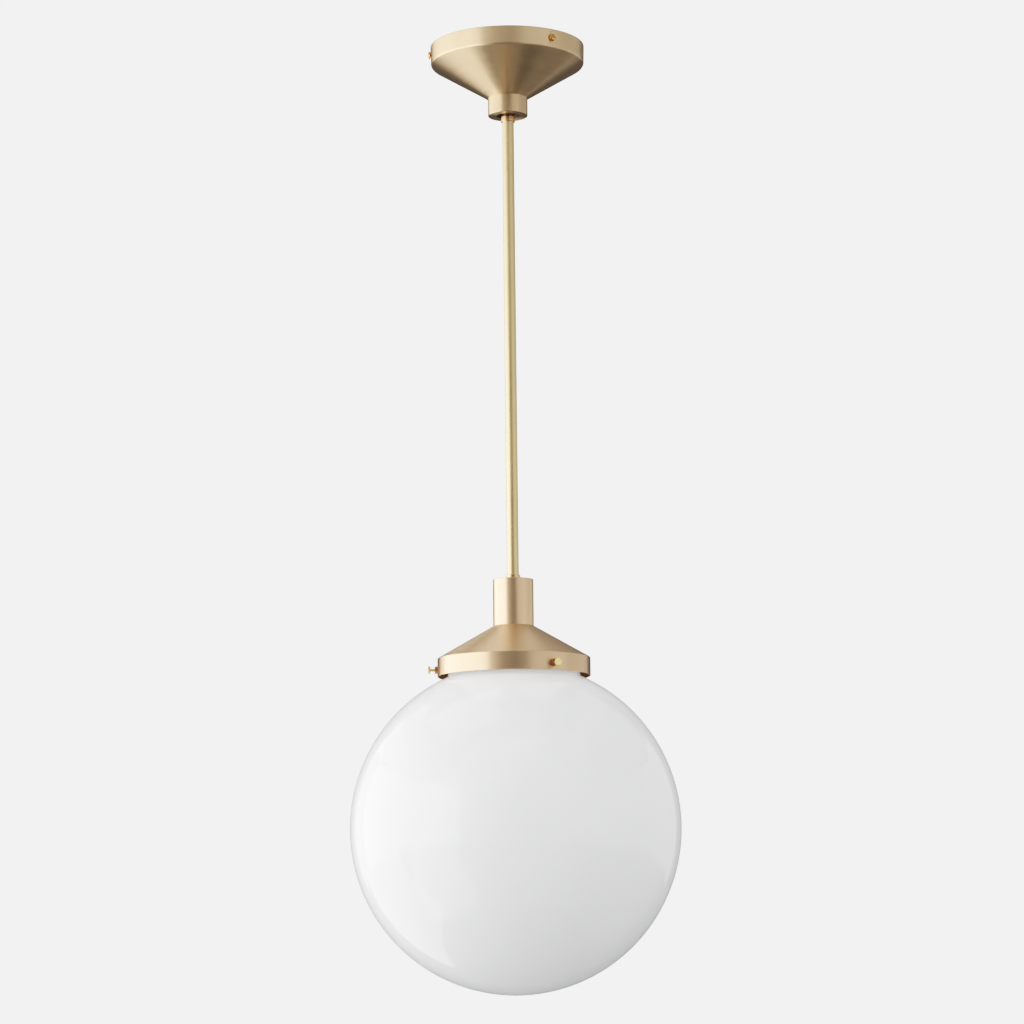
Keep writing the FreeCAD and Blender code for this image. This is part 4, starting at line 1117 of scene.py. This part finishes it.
# %% Studio light
PANEL_DISTANCE = 2.4
LIGHT_MIDDLE = Vector((0, 0, -0.55))
STANDING = (0, 1.6)
RAISED = (24.3, 0.52)
UPPER = (36.5, 0.52)
LOW = (-38, 1.75)
HIGH = (38, 1.6)
TOP = (65, 1.5)
PANELS = {
    "left_far": (-136, 17, STANDING, 3.8), "left_back": (-105, 45, STANDING, 8.2),
    "left_front": (-60, 45, STANDING, 8.6), "left_edge": (-30, 15, STANDING, 2.1),
    "left_fade": (-15, 15, STANDING, 0.6), "right_near": (15, 15, STANDING, 0.4),
    "right_front": (38, 30, STANDING, 2.5), "right": (68, 30, STANDING, 3.0),
    "right_back": (105, 45, STANDING, 2.2), "right_far": (136, 17, STANDING, 1.9),
    "behind": (180, 60, STANDING, 0.15), "low_left_back": (-112, 60, LOW, 4.8),
    "low_left": (-60, 45, LOW, 4.2), "low_front": (25, 50, LOW, 0.6),
    "low_right_back": (98, 75, LOW, 0.5), "raised_left_back": (-112, 60, RAISED, 4.4),
    "raised_left": (-60, 45, RAISED, 3.4), "upper_left_back": (-112, 60, UPPER, 2.2),
    "upper_left": (-60, 45, UPPER, 1.2), "high_front": (-15, 45, HIGH, 2.0),
    "high_right": (38, 60, HIGH, 2.0), "high_right_back": (105, 75, HIGH, 1.1),
    "high_back": (188, 75, HIGH, 0.6), "top_front": (0, 75, TOP, 1.2),
    "top_left": (-90, 75, TOP, 3.0), "top_right": (90, 75, TOP, 0.5),
    "top_back": (180, 75, TOP, 2.8)}


def soft_panel(name, bearing, spread, row, glow):
    """A soft area light that faces the pendant; a row is its height in degrees and how tall it is."""
    height, tall = row
    bearing, spread, height = (math.radians(angle) for angle in (bearing, spread, height))
    towards = Vector((
        math.sin(bearing) * math.cos(height), -math.cos(bearing) * math.cos(height),
        math.sin(height)))
    data = bpy.data.lights.new(name, "AREA")
    data.shape = "RECTANGLE"
    data.size = 2 * PANEL_DISTANCE * math.cos(height) * math.tan(spread / 2)
    data.size_y = tall
    data.energy = glow * data.size * data.size_y
    panel = bpy.data.objects.new(name, data)
    panel.location = LIGHT_MIDDLE + towards * PANEL_DISTANCE
    panel.rotation_euler = towards.to_track_quat("Z", "Y").to_euler()
    panel.visible_camera = False
    bpy.context.scene.collection.objects.link(panel)


for name, settings in PANELS.items():
    soft_panel(name, *settings)
print("panels:", len(PANELS))

# %% [markdown]
# The world is what shows between the panels. To the camera it is a plain pale backdrop; to the metal
# it is a dim white room. The Light Path node tells the two apart. The floor's paint has a glow of its
# own, so that the floor stays nearly as pale as the backdrop wherever the panels leave it dark.

# %% World
BACKDROP_GLOW = 1.27
ROOM_GLOW = 0.1
FLOOR_GLOW = 1.08
WHITE = (1, 1, 1, 1)

world = bpy.data.worlds.new("studio")
bpy.context.scene.world = world
world.use_nodes = True
air = world.node_tree
seen = air.nodes["Background"]
seen.inputs["Color"].default_value = WHITE
seen.inputs["Strength"].default_value = BACKDROP_GLOW
room = air.nodes.new("ShaderNodeBackground")
room.inputs["Color"].default_value = WHITE
room.inputs["Strength"].default_value = ROOM_GLOW
choice = air.nodes.new("ShaderNodeMixShader")
eye = air.nodes.new("ShaderNodeLightPath")
air.links.new(eye.outputs["Is Camera Ray"], choice.inputs[0])
air.links.new(room.outputs[0], choice.inputs[1])
air.links.new(seen.outputs[0], choice.inputs[2])
air.links.new(choice.outputs[0], air.nodes["World Output"].inputs["Surface"])

floor_paint = plain_stuff(
    "pale_floor", (0.19, 0.19, 0.185), (0.22, 0.22, 0.215), 0.6, patches=0.8,
    Emission_Color=(1.0, 1.0, 0.99, 1.0), Emission_Strength=FLOOR_GLOW)
floor.data.materials.append(floor_paint)
print("backdrop:", BACKDROP_GLOW, "room:", ROOM_GLOW, "floor:", FLOOR_GLOW)

# %% [markdown]
# A camera's film or sensor answers to light along an S-shaped curve: dark tones get darker and the
# brightest ones bend over before they burn out, and lose colour as they do. A curve in the scene's
# colour settings does the same: light on the left, shown tone on the right.

# %% Tone curve
BRIGHTEST = 2.1
TONES = (
    (0.057, 0.03), (0.135, 0.10), (0.222, 0.20), (0.307, 0.30), (0.40, 0.40), (0.515, 0.50),
    (0.647, 0.60), (0.806, 0.70), (1.015, 0.80), (1.243, 0.88), (1.67, 0.97))
look = bpy.context.scene.view_settings
look.view_transform = "Standard"
look.use_curve_mapping = True
look.curve_mapping.white_level = (BRIGHTEST,) * 3
all_channels = look.curve_mapping.curves[3]
for light, tone in TONES:
    all_channels.points.new(light / BRIGHTEST, tone)
look.curve_mapping.update()
print("tone curve:", len(all_channels.points), "points")
